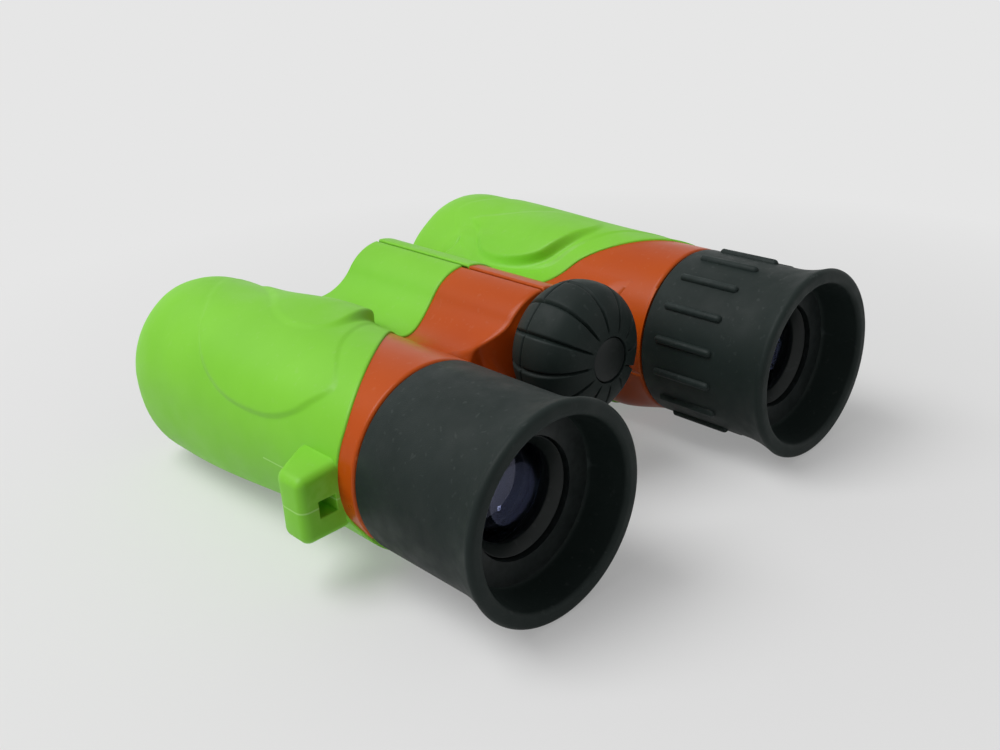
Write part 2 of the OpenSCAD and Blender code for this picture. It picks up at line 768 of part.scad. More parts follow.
module diopter_ring() color(black) on_right()
    difference() {
        eyepiece_ring();
        along_barrel() translate([0, 0, tube_start - tab_length - free_gap])
            linear_extrude(tab_length + over)
                polygon(concat([[0, 0]], arc([0, 0], tab_r + free_gap, -stop_angle, stop_angle, stop_steps)));
    }

// Ocular: a tube with a bevelled retainer, two lenses and a field stop
module ocular_tube() color(black)
    along_barrel() pipe(ocular_r, ocular_bore_r, ocular_start, ocular_start + ocular_length);

module ocular_retainer() color(black)
    along_barrel() turned([
        [eye_clear_r, ocular_start], [ocular_bore_r, ocular_start - retainer_rise],
        [ocular_bore_r + seat_gap, ocular_start - retainer_rise],
        [ocular_bore_r + seat_gap, ocular_start - fit_gap], [ocular_bore_r - fit_gap, ocular_start - fit_gap],
        [ocular_bore_r - fit_gap, ocular_start + retainer_skirt],
        [eye_clear_r, ocular_start + retainer_skirt]]);

// A lens with two round faces, turned from one outline
lens_steps = 5;

module lens(r, from, t, bulge) {
    ball = (r ^ 2 + bulge ^ 2) / (2 * bulge);
    half_angle = asin(r / ball);
    turned(concat(
        arc([0, from + ball], ball, -90, half_angle - 90, lens_steps),
        arc([0, from + t - ball], ball, 90 - half_angle, 90, lens_steps)));
}

eye_bulge = 1.6;
field_bulge = 1.4;
objective_bulge = 1.2;

module eye_lens() color(glass)
    along_barrel() lens(ocular_bore_r - fit_gap, eye_lens_start, eye_lens_t, eye_bulge);

module field_lens() color(glass)
    along_barrel() lens(ocular_bore_r - fit_gap, field_lens_start, field_lens_t, field_bulge);

module field_stop() color(black)
    along_barrel() pipe(ocular_bore_r - fit_gap, field_stop_r, field_stop_start,
        field_stop_start + field_stop_t);

module left_ocular_tube() ocular_tube();
module right_ocular_tube() on_right() ocular_tube();
module left_ocular_retainer() ocular_retainer();
module right_ocular_retainer() on_right() ocular_retainer();
module left_eye_lens() eye_lens();
module right_eye_lens() on_right() eye_lens();
module left_field_lens() field_lens();
module right_field_lens() on_right() field_lens();
module left_field_stop() field_stop();
module right_field_stop() on_right() field_stop();

// Prism cage: a tube with an end wall, and the two prisms of a straight erecting pair
module prism_cage() color(black)
    along_barrel() difference() {
        rod(cage_r, cage_start, cage_end);
        rod(cage_window_r, cage_start - over, cage_end + over);
        rod(cage_bore_r, cage_start + cage_wall, cage_end + over);
    }

prism_from = cage_start + cage_wall + lens_seat;
prism_to = cage_end - lens_seat;
prism_length = prism_to - prism_from;

module prism(points)
    along_barrel() translate([0, prism_w / 2, 0]) rotate([90, 0, 0])
        linear_extrude(prism_w) polygon(points);

prism_step = prism_slope_share * prism_length;
half_prism_length = half_prism_share * prism_length;

module half_prism() color(glass)
    prism([[-prism_w / 2, prism_from], [prism_w / 2, prism_from],
        [prism_w / 2, prism_from + half_prism_length - prism_step],
        [-prism_w / 2, prism_from + half_prism_length + prism_step]]);

module roof_prism() color(glass)
    prism([[-prism_w / 2, prism_from + half_prism_length + prism_step + prism_air],
        [prism_w / 2, prism_from + half_prism_length - prism_step + prism_air],
        [prism_w / 2, prism_to], [-prism_w / 2, prism_to]]);

module left_prism_cage() prism_cage();
module right_prism_cage() on_right() prism_cage();
module left_half_prism() half_prism();
module right_half_prism() on_right() half_prism();
module left_roof_prism() roof_prism();
module right_roof_prism() on_right() roof_prism();

// Objective cell: a sliding tube with the lens seat and the arm that reaches into the focus spool
module objective_cell() color(black)
    along_barrel() difference() {
        union() {
            rod(slide_r, cell_start, cell_end);
            rotate([0, 0, -tilt]) translate([0, -arm_w / 2, spool_mid - arm_t / 2])
                cube([axis_distance - groove_r, arm_w, arm_t]);
        }
        rod(objective_clear_r, cell_start - over, cell_end + over);
        rod(objective_r + fit_gap, objective_back, cell_end + over);
        rotate([0, 0, -tilt]) translate([axis_distance, 0, 0])
            rod(arm_tip_r, cell_start - over, cell_end + over);
    }

module objective_lens() color(glass)
    along_barrel() lens(objective_r, objective_back, objective_t, objective_bulge);

module objective_retainer() color(black)
    along_barrel() pipe(objective_r, objective_clear_r, cell_end - retainer_t, cell_end);

module left_objective_cell() objective_cell();
module right_objective_cell() on_right() objective_cell();
module left_objective_lens() objective_lens();
module right_objective_lens() on_right() objective_lens();
module left_objective_retainer() objective_retainer();
module right_objective_retainer() on_right() objective_retainer();

// Hinge: a hollow shaft through all the knuckles, two washers, and the cap over the front of the cavity
module hinge_shaft() color(steel) along_hinge() pipe(shaft_r, shaft_bore_r, bridge_start, shaft_end);

module hinge_washers() color(steel) along_hinge()
    for (from = [knuckle_a + washer_gap, knuckle_b - washer_gap - washer_t])
        pipe(knuckle_r - over, shaft_r + run_gap, from, from + washer_t);

module hinge_cap() color(black) along_hinge()
    turned([
        [0, bridge_end - cap_t], [cavity_r - fit_gap, bridge_end - cap_t],
        [cavity_r - fit_gap, bridge_end + fit_gap], [knuckle_r, bridge_end + fit_gap],
        [knuckle_r, bridge_end + cap_lip], [0, bridge_end + cap_lip]]);

// Focus: the spindle turns in the hinge shaft and drives the spool, which is keyed to the left half
module focus_spindle() color(steel) along_hinge()
    difference() {
        union() {
            rod(spindle_r, spindle_start, cavity_start + run_gap);
            rod(thread_r, cavity_start + run_gap, bridge_end - cap_t - run_gap);
        }
        rod(screw_r + fit_gap, spindle_start - over, spindle_start + screw_length);
    }

module focus_spool() color(brass) along_hinge()
    difference() {
        union() {
            rod(spool_r, spool_mid - spool_length / 2, spool_mid - groove_w / 2);
            rod(groove_r, spool_mid - groove_w, spool_mid + groove_w);
            rod(spool_r, spool_mid + groove_w / 2, spool_mid + spool_length / 2);
            translate([-key_w / 2, -spool_r - key_h, spool_mid - spool_length / 2])
                cube([key_w, spool_r, spool_length / 2 - groove_w / 2]);
        }
        rod(thread_r + run_gap, spool_mid - spool_length, spool_mid + spool_length);
    }

// Knob: a core on the spindle, a grooved rubber grip, a disc over the screw
knob_last = len(knob_shares) - 1;
knob_points = [for (p = knob_shares) [knob_r * p.y, knob_start + knob_length * p.x]];
disc_r = knob_points[0].x;

// Outward direction of the knob's outline at a point
function knob_normal(i) =
    i == 0 ? [0, -1] :
    i == knob_last ? [1, 0] :
        let (run = knob_points[i + 1] - knob_points[i - 1]) [run.y, -run.x] / norm(run);

function knob_outline(inset) = [for (i = [0:knob_last]) knob_points[i] - inset * knob_normal(i)];

function backwards(points) = [for (i = [len(points) - 1:-1:0]) points[i]];

module knob_solid(inset) turned(concat([[0, knob_start + inset]], knob_outline(inset), [[0, knob_end]]));

module grip_grooves()
    difference() {
        for (i = [0:knob_grooves - 1]) rotate([0, 0, 360 * i / knob_grooves])
            translate([disc_r / 2, -groove_cut_w / 2, knob_start - over])
                cube([knob_r, groove_cut_w, knob_length + over - groove_end]);
        knob_solid(groove_cut_depth);
    }

module knob_grip() color(rubber) along_hinge()
    difference() {
        turned(concat(knob_outline(0), backwards(knob_outline(grip_t))));
        grip_grooves();
    }

module knob_core() color(black) along_hinge()
    difference() {
        turned(concat([[0, knob_start + disc_t], [disc_r, knob_start + disc_t]],
            knob_outline(grip_t + fit_gap), [[0, knob_end]]));
        rod(spindle_r + fit_gap, spindle_start, knob_end + over);
        rod(screw_head_r + fit_gap, knob_start, knob_start + disc_t + screw_head_t);
        rod(screw_r + fit_gap, knob_start, knob_end);
    }

module knob_disc() color(black) along_hinge()
    rod(disc_r - fit_gap, knob_start, knob_start + disc_t - fit_gap);

module knob_screw() color(steel) along_hinge() {
    rod(screw_head_r, knob_start + disc_t, knob_start + disc_t + screw_head_t);
    rod(screw_r, knob_start + disc_t, spindle_start + screw_length - free_gap);
}

left_chassis();
left_cover();
left_armor();
left_front_rim();
left_objective_bezel();
left_eyecup();
left_eyepiece_ring();
left_ocular_tube();
left_ocular_retainer();
left_eye_lens();
left_field_lens();
left_field_stop();
left_prism_cage();
left_roof_prism();
left_half_prism();
left_objective_cell();
left_objective_lens();
left_objective_retainer();
right_chassis();
right_cover();
right_armor();
right_front_rim();
right_objective_bezel();
right_eyecup();
diopter_ring();
right_ocular_tube();
right_ocular_retainer();
right_eye_lens();
right_field_lens();
right_field_stop();
right_prism_cage();
right_roof_prism();
right_half_prism();
right_objective_cell();
right_objective_lens();
right_objective_retainer();
hinge_shaft();
hinge_washers();
hinge_cap();
focus_spindle();
focus_spool();
knob_core();
knob_grip();
knob_disc();
knob_screw();
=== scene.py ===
# %% [markdown]
# Compact binoculars for a child: two barrels in green rubber on a centre hinge, with an orange
# saddle at the eyepiece end, black eyecups and a black focus knob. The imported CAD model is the
# fixed frame, and this lesson dresses it: each step remakes one kind of piece with bmesh
# operators, in metres, exactly where the CAD has it, so that nothing has to be fitted by eye.

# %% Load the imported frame
import math

import bmesh
import bpy
from mathutils import Matrix, Vector


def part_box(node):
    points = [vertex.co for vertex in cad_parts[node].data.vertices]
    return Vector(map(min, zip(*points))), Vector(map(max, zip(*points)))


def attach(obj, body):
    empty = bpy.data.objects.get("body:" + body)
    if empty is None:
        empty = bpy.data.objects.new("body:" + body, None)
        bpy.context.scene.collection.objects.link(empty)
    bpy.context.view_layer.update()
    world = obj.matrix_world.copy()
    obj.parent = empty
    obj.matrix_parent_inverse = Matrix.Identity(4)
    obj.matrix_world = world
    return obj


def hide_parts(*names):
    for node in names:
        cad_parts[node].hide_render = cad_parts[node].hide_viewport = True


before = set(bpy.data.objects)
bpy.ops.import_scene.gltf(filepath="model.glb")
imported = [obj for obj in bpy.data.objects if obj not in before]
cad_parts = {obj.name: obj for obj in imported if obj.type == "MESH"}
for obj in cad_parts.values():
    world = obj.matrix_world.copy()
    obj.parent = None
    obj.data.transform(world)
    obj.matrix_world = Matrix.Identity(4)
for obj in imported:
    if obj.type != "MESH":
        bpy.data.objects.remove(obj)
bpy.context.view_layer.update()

# %% [markdown]
# Binoculars are measured in millimetres, so the lesson is too, and one helper turns a point into
# metres in the frame. Places along a barrel run from the eyecup lips towards the objectives.

# %% Measures and small helpers
MM = 0.001
LENGTH = 104.5
BARREL_X, AXIS_Z, HINGE_RISE = 36.0, 18.9, 8.0
HINGE_Z = AXIS_Z + HINGE_RISE


def at(x, place, z):
    return Vector((x, place - LENGTH / 2, z)) * MM


def mix(a, b, t):
    return a + (b - a) * t


def ease(t):
    c = min(1.0, max(0.0, t))
    return c * c * (3 - 2 * c)


def spread(start, end, count):
    return [mix(start, end, i / count) for i in range(count + 1)]


def srgb(red, green, blue):
    """Makes a colour as a screen shows it, 0 to 255, linear for a shader."""
    parts = [c / 255 for c in (red, green, blue)]
    linear = [c / 12.92 if c <= 0.04045 else ((c + 0.055) / 1.055) ** 2.4 for c in parts]
    return (*linear, 1.0)


print("barrel axes at", at(-BARREL_X, 0, AXIS_Z), at(BARREL_X, 0, AXIS_Z))

# %% [markdown]
# Moulded rubber and plastic are never one flat colour: the tone drifts a little where the material
# flowed, a fine grain breaks up the gloss, dust settles on top and corners are rubbed. Each effect
# could be drawn again in every material. A node group built once and placed in each with its own
# values keeps them alike.

# %% Start a node group
def node_group(name, inputs, outputs):
    tree = bpy.data.node_groups.new(name, "ShaderNodeTree")
    for label, kind, value in inputs:
        tree.interface.new_socket(label, in_out="INPUT", socket_type=kind).default_value = value
    for label, kind in outputs:
        tree.interface.new_socket(label, in_out="OUTPUT", socket_type=kind)
    return tree, tree.nodes.new("NodeGroupInput"), tree.nodes.new("NodeGroupOutput")


def feed(tree, socket, value):
    if hasattr(value, "is_linked"):
        tree.links.new(value, socket)
    else:
        socket.default_value = value


def remap(tree, value, low, high, to_low, to_high):
    node = tree.nodes.new("ShaderNodeMapRange")
    for socket, number in zip(node.inputs, (value, low, high, to_low, to_high)):
        feed(tree, socket, number)
    return node.outputs[0]


def noise(tree, scale, detail):
    place = tree.nodes.new("ShaderNodeTexCoord")
    node = tree.nodes.new("ShaderNodeTexNoise")
    tree.links.new(place.outputs["Object"], node.inputs["Vector"])
    feed(tree, node.inputs["Scale"], scale)
    feed(tree, node.inputs["Detail"], detail)
    return node.outputs["Fac"]


def math_node(tree, kind, first, second=0):
    node = tree.nodes.new("ShaderNodeMath")
    node.operation = kind
    for socket, value in zip(node.inputs, (first, second)):
        feed(tree, socket, value)
    return node.outputs[0]


def colour_mix(tree, factor, first, second):
    node = tree.nodes.new("ShaderNodeMix")
    node.data_type = "RGBA"
    for index, value in ((0, factor), (6, first), (7, second)):
        feed(tree, node.inputs[index], value)
    return node.outputs[2]


print("node helpers ready")

# %% The flow of colour in a moulding
flow, source, sink = node_group(
    "moulding_flow",
    [("Main", "NodeSocketColor", (1, 1, 1, 1)), ("Drift", "NodeSocketColor", (1, 1, 1, 1)),
     ("Scale", "NodeSocketFloat", 60.0)],
    [("Colour", "NodeSocketColor")])
drift = remap(flow, noise(flow, source.outputs["Scale"], 4.0), 0.35, 0.65, 0.0, 1.0)
tone = colour_mix(flow, drift, source.outputs["Main"], source.outputs["Drift"])
flow.links.new(tone, sink.inputs["Colour"])
print("group", flow.name)

# %% The grain of a surface
grain, source, sink = node_group(
    "surface_grain",
    [("Scale", "NodeSocketFloat", 2000.0), ("Smooth", "NodeSocketFloat", 0.4),
     ("Rough", "NodeSocketFloat", 0.6)],
    [("Height", "NodeSocketFloat"), ("Roughness", "NodeSocketFloat")])
grain.links.new(noise(grain, source.outputs["Scale"], 2.0), sink.inputs["Height"])
cloud = noise(grain, math_node(grain, "MULTIPLY", source.outputs["Scale"], 0.06), 5.0)
patchy = remap(grain, cloud, 0.3, 0.7, source.outputs["Smooth"], source.outputs["Rough"])
grain.links.new(patchy, sink.inputs["Roughness"])
print("group", grain.name)

# %% Dust that settles on top
dust, source, sink = node_group(
    "settled_dust",
    [("Scale", "NodeSocketFloat", 900.0), ("Amount", "NodeSocketFloat", 0.3)],
    [("Mask", "NodeSocketFloat")])
specks = remap(dust, noise(dust, source.outputs["Scale"], 1.0), 0.66, 0.74, 0.0, 1.0)
facing = dust.nodes.new("ShaderNodeSeparateXYZ")
dust.links.new(dust.nodes.new("ShaderNodeNewGeometry").outputs["Normal"], facing.inputs[0])
upward = remap(dust, facing.outputs["Z"], -0.2, 0.9, 0.15, 1.0)
lying = math_node(dust, "MULTIPLY", specks, upward)
dust.links.new(math_node(dust, "MULTIPLY", lying, source.outputs["Amount"]), sink.inputs["Mask"])
print("group", dust.name)

# %% Corners that hands have rubbed
rub, source, sink = node_group(
    "rubbed_corners",
    [("Start", "NodeSocketFloat", 0.52), ("Full", "NodeSocketFloat", 0.62),
     ("Amount", "NodeSocketFloat", 0.5)],
    [("Mask", "NodeSocketFloat")])
sharp = rub.nodes.new("ShaderNodeNewGeometry").outputs["Pointiness"]
start, full, amount = (source.outputs[label] for label in ("Start", "Full", "Amount"))
ridge = remap(rub, sharp, start, full, 0.0, amount)
broken = remap(rub, noise(rub, 700.0, 4.0), 0.35, 0.6, 0.3, 1.0)
rub.links.new(math_node(rub, "MULTIPLY", ridge, broken), sink.inputs["Mask"])
print("group", rub.name)

# %% [markdown]
# The finishes follow from the groups. Each takes two tones, a grain, a range of roughness, a dust
# colour and a colour for its rubbed corners. What is the same all over stays on the shader itself.

# %% Make a finish
def place_group(tree, group, **values):
    node = tree.nodes.new("ShaderNodeGroup")
    node.node_tree = group
    for label, value in values.items():
        node.inputs[label].default_value = value
    return node


def finish(name, main, drift, patch, grain_size, bump, smooth, rough, gloss, worn, wear, speck, dusty):
    material = bpy.data.materials.new(name)
    material.use_nodes = True
    tree = material.node_tree
    shader = tree.nodes["Principled BSDF"]
    colour = place_group(tree, flow, Main=main, Drift=drift, Scale=patch).outputs["Colour"]
    corners = place_group(tree, rub, Amount=wear).outputs["Mask"]
    colour = colour_mix(tree, corners, colour, worn)
    settled = place_group(tree, dust, Amount=dusty).outputs["Mask"]
    colour = colour_mix(tree, settled, colour, speck)
    tree.links.new(colour, shader.inputs["Base Color"])
    skin = place_group(tree, grain, Scale=1.0 / (grain_size * MM), Smooth=smooth, Rough=rough)
    tree.links.new(skin.outputs["Roughness"], shader.inputs["Roughness"])
    relief = tree.nodes.new("ShaderNodeBump")
    relief.inputs["Strength"].default_value = bump
    relief.inputs["Distance"].default_value = 0.1 * MM
    tree.links.new(skin.outputs["Height"], relief.inputs["Height"])
    tree.links.new(relief.outputs["Normal"], shader.inputs["Normal"])
    shader.inputs["Specular IOR Level"].default_value = gloss
    print("finish", name)
    return material, tree, shader, colour


# %% Rubber and plastic
green_rubber, green_tree, green_shader, green_colour = finish(
    "green_rubber", srgb(128, 206, 46), srgb(122, 199, 41), patch=45, grain_size=0.35, bump=0.1,
    smooth=0.42, rough=0.54, gloss=0.34, worn=srgb(158, 224, 96), wear=0.35,
    speck=srgb(190, 205, 175), dusty=0.05)
orange_plastic, *_ = finish(
    "orange_plastic", srgb(188, 78, 12), srgb(180, 71, 9), patch=50, grain_size=0.6, bump=0.04,
    smooth=0.27, rough=0.38, gloss=0.18, worn=srgb(218, 124, 66), wear=0.4,
    speck=srgb(205, 175, 150), dusty=0.05)
black_rubber, *_ = finish(
    "black_rubber", srgb(28, 37, 35), srgb(23, 32, 30), patch=80, grain_size=0.22, bump=0.2,
    smooth=0.5, rough=0.66, gloss=0.17, worn=srgb(66, 76, 76), wear=0.4,
    speck=srgb(140, 146, 144), dusty=0.05)
black_plastic, *_ = finish(
    "black_plastic", srgb(20, 26, 25), srgb(16, 22, 21), patch=90, grain_size=0.3, bump=0.08,
    smooth=0.36, rough=0.5, gloss=0.25, worn=srgb(56, 62, 62), wear=0.3,
    speck=srgb(140, 145, 145), dusty=0.04)

# %% [markdown]
# The green skin is moulded in two halves. On the strap lug and the barrel beside it the mould's
# parting line is a raised thread that catches the light as a pale hairline. A raised thread of mesh
# would be too thin to keep, so the line is a mask in the material: a narrow band of painted highlight,
# limited to the lugs.

# %% The parting line on the lugs, as a painted highlight
# the line's share is how far the base colour moves to a paler green, a painted highlight
LINE_Z, LINE_CORE, LINE_EDGE, LINE_HIGHLIGHT_SHARE = 17.1, 0.08, 0.2, 0.7
LUG_SIDE, LUG_FRONT = 53.4, 4
spot = green_tree.nodes.new("ShaderNodeSeparateXYZ")
green_tree.links.new(green_tree.nodes.new("ShaderNodeTexCoord").outputs["Object"], spot.inputs[0])
above = math_node(green_tree, "SUBTRACT", spot.outputs["Z"], LINE_Z * MM)
off_line = math_node(green_tree, "ABSOLUTE", above)
on_line = remap(green_tree, off_line, LINE_CORE * MM, LINE_EDGE * MM, LINE_HIGHLIGHT_SHARE, 0.0)
aside = math_node(green_tree, "ABSOLUTE", spot.outputs["X"])
outside = math_node(green_tree, "GREATER_THAN", aside, LUG_SIDE * MM)
near_lug = math_node(green_tree, "LESS_THAN", spot.outputs["Y"], LUG_FRONT * MM)
on_lug = math_node(green_tree, "MULTIPLY", outside, near_lug)
line = math_node(green_tree, "MULTIPLY", on_line, on_lug)
# painted highlight: a paler green along the parting line, where its thin ridge would catch the light
painted_line_highlight = colour_mix(green_tree, line, green_colour, srgb(178, 226, 132))
green_tree.links.new(painted_line_highlight, green_shader.inputs["Base Color"])
print("parting line at height", LINE_Z)

# %% Metals: the hinge shaft and screw are steel, the focus spool is brass
def metal(name, main, drift, smooth, rough):
    material, _, shader, _ = finish(
        name, main, drift, patch=120, grain_size=0.2, bump=0.08, smooth=smooth, rough=rough,
        gloss=0.5, worn=main, wear=0.1, speck=srgb(120, 115, 105), dusty=0.05)
    shader.inputs["Metallic"].default_value = 1.0
    return material


steel = metal("steel", srgb(196, 198, 202), srgb(180, 182, 188), 0.22, 0.36)
brass = metal("brass", srgb(214, 176, 98), srgb(196, 156, 80), 0.24, 0.4)

# %% [markdown]
# The lenses are clear glass with a coating that throws back a little blue and violet. The black
# tube behind them makes them look dark, so the glass itself stays clear. Fingers leave a faint
# film, which only shows as a drift of the roughness.

# %% Coated glass
GLASS_INDEX, VIOLET, SMEAR_SCALE = 1.52, (0.55, 0.58, 0.9, 1.0), 60.0


def coated(name, tint, film):
    material = bpy.data.materials.new(name)
    material.use_nodes = True
    tree = material.node_tree
    shader = tree.nodes["Principled BSDF"]
    shader.inputs["Base Color"].default_value = tint
    shader.inputs["Transmission Weight"].default_value = 1.0
    shader.inputs["IOR"].default_value = GLASS_INDEX
    shader.inputs["Specular Tint"].default_value = VIOLET
    smear = place_group(tree, grain, Scale=SMEAR_SCALE, Smooth=0.0, Rough=film)
    tree.links.new(smear.outputs["Roughness"], shader.inputs["Roughness"])
    print("finish", name)
    return material


lens_glass = coated("lens_glass", (0.72, 0.78, 0.95, 1.0), 0.03)
prism_glass = coated("prism_glass", (0.92, 0.95, 1.0, 1.0), 0.02)

# %% [markdown]
# The CAD nodes whose shape is already right keep it and only get a finish: the orange mouldings
# inside the skins, the tubes and prisms, and the metal of hinge and focus.

# %% Finishes for the CAD nodes
node_finishes = {
    "chassis": orange_plastic, "cover": orange_plastic, "armor": green_rubber, "rim": green_rubber,
    "eyecup": black_rubber, "knob_grip": black_rubber, "prism": prism_glass, "lens": lens_glass,
    "shaft": steel, "washers": steel, "spindle": steel, "screw": steel, "spool": brass}
for ending in ("eyepiece_ring", "diopter_ring", "tube", "stop", "cage", "cell", "retainer", "bezel",
               "hinge_cap", "knob_core", "knob_disc"):
    node_finishes[ending] = black_plastic
for name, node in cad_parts.items():
    ending = max((e for e in node_finishes if name.endswith(e)), key=len)
    node.data.materials.clear()
    node.data.materials.append(node_finishes[ending])
print("dressed", len(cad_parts), "CAD nodes")

# %% [markdown]
# Every new piece ends the same way: its mesh becomes an object at the origin, rides on the body of
# the CAD node it stands for, and takes its finish. A piece for the left half is mirrored for the
# right one, and its faces are turned outwards again.

# %% Finish a piece
def piece(bm, name, material, slot, body, *nodes, right=False, crease=40):
    if right:
        bmesh.ops.scale(bm, vec=(-1, 1, 1), verts=bm.verts)
        bmesh.ops.reverse_faces(bm, faces=bm.faces)
    mesh = bpy.data.meshes.new(name)
    bm.to_mesh(mesh)
    bm.free()
    mesh.polygons.foreach_set("use_smooth", [True] * len(mesh.polygons))
    mesh.set_sharp_from_angle(angle=math.radians(crease))
    mesh.materials.append(material)
    made = bpy.data.objects.new(name, mesh)
    bpy.context.scene.collection.objects.link(made)
    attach(made, body)
    if nodes:
        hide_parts(*nodes)
    print(name, "has", len(mesh.polygons), "faces")
    return made


def close(bm):
    bmesh.ops.remove_doubles(bm, verts=bm.verts, dist=0.002 * MM)
    bmesh.ops.dissolve_degenerate(bm, edges=bm.edges, dist=0.001 * MM)
    bmesh.ops.recalc_face_normals(bm, faces=bm.faces)


SIDES = (("left", False), ("right", True))
print("pieces come in", [name for name, _ in SIDES])

# %% [markdown]
# The skins are the hard part of this object: the green rubber runs from the hinge ridge through a
# valley, round the barrel and up the hollow below, all in one. It could be sculpted or booleaned.
# Here its section is a chain of circles that touch, as on a drawing board, and a grid is wrapped
# along that chain. The chain for the left half is drawn from the barrel axis, x towards the hinge.

# %% The circles of a skin's section
HINGE = Vector((BARREL_X, HINGE_RISE))
AXIS_GAP, TILT = HINGE.length, math.atan2(HINGE_RISE, BARREL_X)
VALLEY_R, HOLLOW_R, ARMOR_R, COVER_R, SWELL = 11.0, 8.0, 17.75, 17.35, 1.15


def touching(barrel, hub, r, side):
    along = ((barrel + r) ** 2 - (hub + r) ** 2 + AXIS_GAP ** 2) / (2 * AXIS_GAP)
    touch = TILT + side * math.acos(along / (barrel + r))
    centre = Vector((math.cos(touch), math.sin(touch))) * (barrel + r)
    reach = centre - HINGE
    return centre, math.degrees(touch), math.degrees(math.atan2(reach.y, reach.x)) % 360


def section(barrel, hub, valley, hollow, seam):
    return {"barrel": barrel, "hub": hub, "valley": valley, "hollow": hollow, "seam": seam,
            "up": touching(barrel, hub, valley, 1), "low": touching(barrel, hub, hollow, -1)}


TUBE_START, BRIDGE_START, BRIDGE_WALL, BRIDGE_END = 29.6, 37.5, 41.0, 88.0
RIDGE_SEAM = {"left": 60.0, "right": 58.4}
ARMOR_HUB, COVER_HUB = {"left": 10.55, "right": 10.75}, {"left": 10.15, "right": 10.4}
COVER_SINK = 0.4
armor_sections, cover_sections = {}, {}
for side, ridge_seam in RIDGE_SEAM.items():
    armor_sections[side] = section(ARMOR_R, ARMOR_HUB[side], VALLEY_R, HOLLOW_R, ridge_seam)
    cover_sections[side] = section(
        COVER_R, COVER_HUB[side], VALLEY_R + COVER_SINK, HOLLOW_R, ridge_seam)
print("skins touch the barrel at", [round(armor_sections["left"][k][1], 1) for k in ("up", "low")])

# %% [markdown]
# The barrel part isn't a plain circle. It swells by about a millimetre towards the objectives and
# its lower corners are a little square, so that the toy lies flat and sits well in the hand.

# %% The reach of a barrel skin
TOP_DROP, DROP_START, DROP_RUN = 1.0, 66, 18
DROP_EDGE, DROP_FADE, BRIDGE_FADE = 118, 40, 12
FREE_RUN, FREE_EDGE, FREE_FADE = 8, 15, 50
SWELL_START, SWELL_RUN, SWELL_FADE = 47, 42, 40
ROUND, INNER_SQUARE, OUTER_SQUARE, SQUARE_RUN = 2, 3.2, 2.6, 10


def top_drop(sec, angle, place):
    """Says how far the top sinks towards the objective, past the bridge on its inner side too."""
    above = angle - 360 if angle > 330 else angle
    free = ease((place - BRIDGE_END) / FREE_RUN)
    inner = (above - mix(sec["up"][1], FREE_EDGE, free)) / mix(BRIDGE_FADE, FREE_FADE, free)
    around = ease(inner) * ease((DROP_EDGE - above) / DROP_FADE)
    return TOP_DROP * around * ease((place - DROP_START) / DROP_RUN)


def shaped_r(sec, barrel, angle, place):
    up, low = sec["up"][1], sec["low"][1] + 360
    share = ease((place - SWELL_START) / SWELL_RUN)
    ramp = min(ease((angle - up) / SWELL_FADE), ease((low - angle) / SWELL_FADE))
    corner = ROUND
    if angle > 270:
        corner = mix(ROUND, INNER_SQUARE, ramp * ease((place - TUBE_START) / SQUARE_RUN))
    elif angle > 180:
        corner = mix(ROUND, OUTER_SQUARE, share)
    c, s = abs(math.cos(math.radians(angle))), abs(math.sin(math.radians(angle)))
    round_r = (barrel + SWELL * share * ramp) / (c ** corner + s ** corner) ** (1 / corner)
    return round_r - top_drop(sec, angle, place)


print("reach at the side and below, front:",
      [round(shaped_r(armor_sections["left"], ARMOR_R, a, 85), 2) for a in (180, 225, 270)])

# %% [markdown]
# Two pads stand out of the rubber on each barrel: a broad one where the fingers lie and on it a
# leaf along the top towards the hinge. Each is an outline of angle and place, drawn through a few
# points as a smooth curve. Its height fades in over a small distance from that outline, so that
# the grid itself carries the pad.

# %% A smooth curve through points
def smooth_curve(points, count, shut=False):
    padded = [points[-1], *points, *points[:2]] if shut else [points[0], *points, points[-1]]
    made = []
    for p0, p1, p2, p3 in zip(padded, padded[1:], padded[2:], padded[3:]):
        for t in [i / count for i in range(count)]:
            made.append(tuple(
                0.5 * (2 * b + (c - a) * t + (2 * a - 5 * b + 4 * c - d) * t * t
                       + (3 * b - a - 3 * c + d) * t ** 3)
                for a, b, c, d in zip(p0, p1, p2, p3)))
    return made if shut else made + [points[-1]]


ARC = math.radians(18.4)
PAD = smooth_curve(
    [(62.8, 85.7), (52.7, 83.5), (38.9, 78.7), (29.8, 74.5), (22.6, 68.8), (20.1, 62.4), (21.9, 54.1),
     (29.9, 47.7), (40.2, 43.9), (50.7, 41.0), (59.1, 42.6), (70.5, 46.2), (78.5, 48.3), (86.9, 50),
     (106.5, 53.1), (119.7, 55.3), (135.2, 57.9), (142.9, 62.5), (146, 69), (147, 80), (128, 90),
     (105, 96), (80, 91)], 3, shut=True)
LEAF = smooth_curve(
    [(112, 88.5), (119, 85.2), (128.3, 82.2), (140, 79), (145, 74), (144, 68), (139, 63.2), (131, 60),
     (121, 57.8), (109, 56), (98, 54.9), (88, 55.2), (81, 57.6), (77.2, 62.6), (79.5, 67.5), (84, 71.2),
     (93, 76), (103, 82)], 3, shut=True)
PAD, LEAF = ([(turn * ARC, place) for turn, place in outline] for outline in (PAD, LEAF))
print("pad outlines have", len(PAD), "and", len(LEAF), "points")

# %% The height of the pads
PAD_TURNS, PAD_PLACES, LEAF_TURN, LEAF_PLACE = (14, 156), (38, 98), 74, 54
PAD_HEIGHT, PAD_EDGE, PAD_TOP, PAD_FADE = (0.55, 0.25), (1.3, 0.9), 35, 25
LEAF_HEIGHT, LEAF_EDGE, LEAF_BASE, LEAF_SHARE = 1.7, 1.9, (0.1, 0.5), (0.12, 1)
LEAF_SIDE, LEAF_FADE, LEAF_TIP, LEAF_RISE = 83, 43, 88, 24


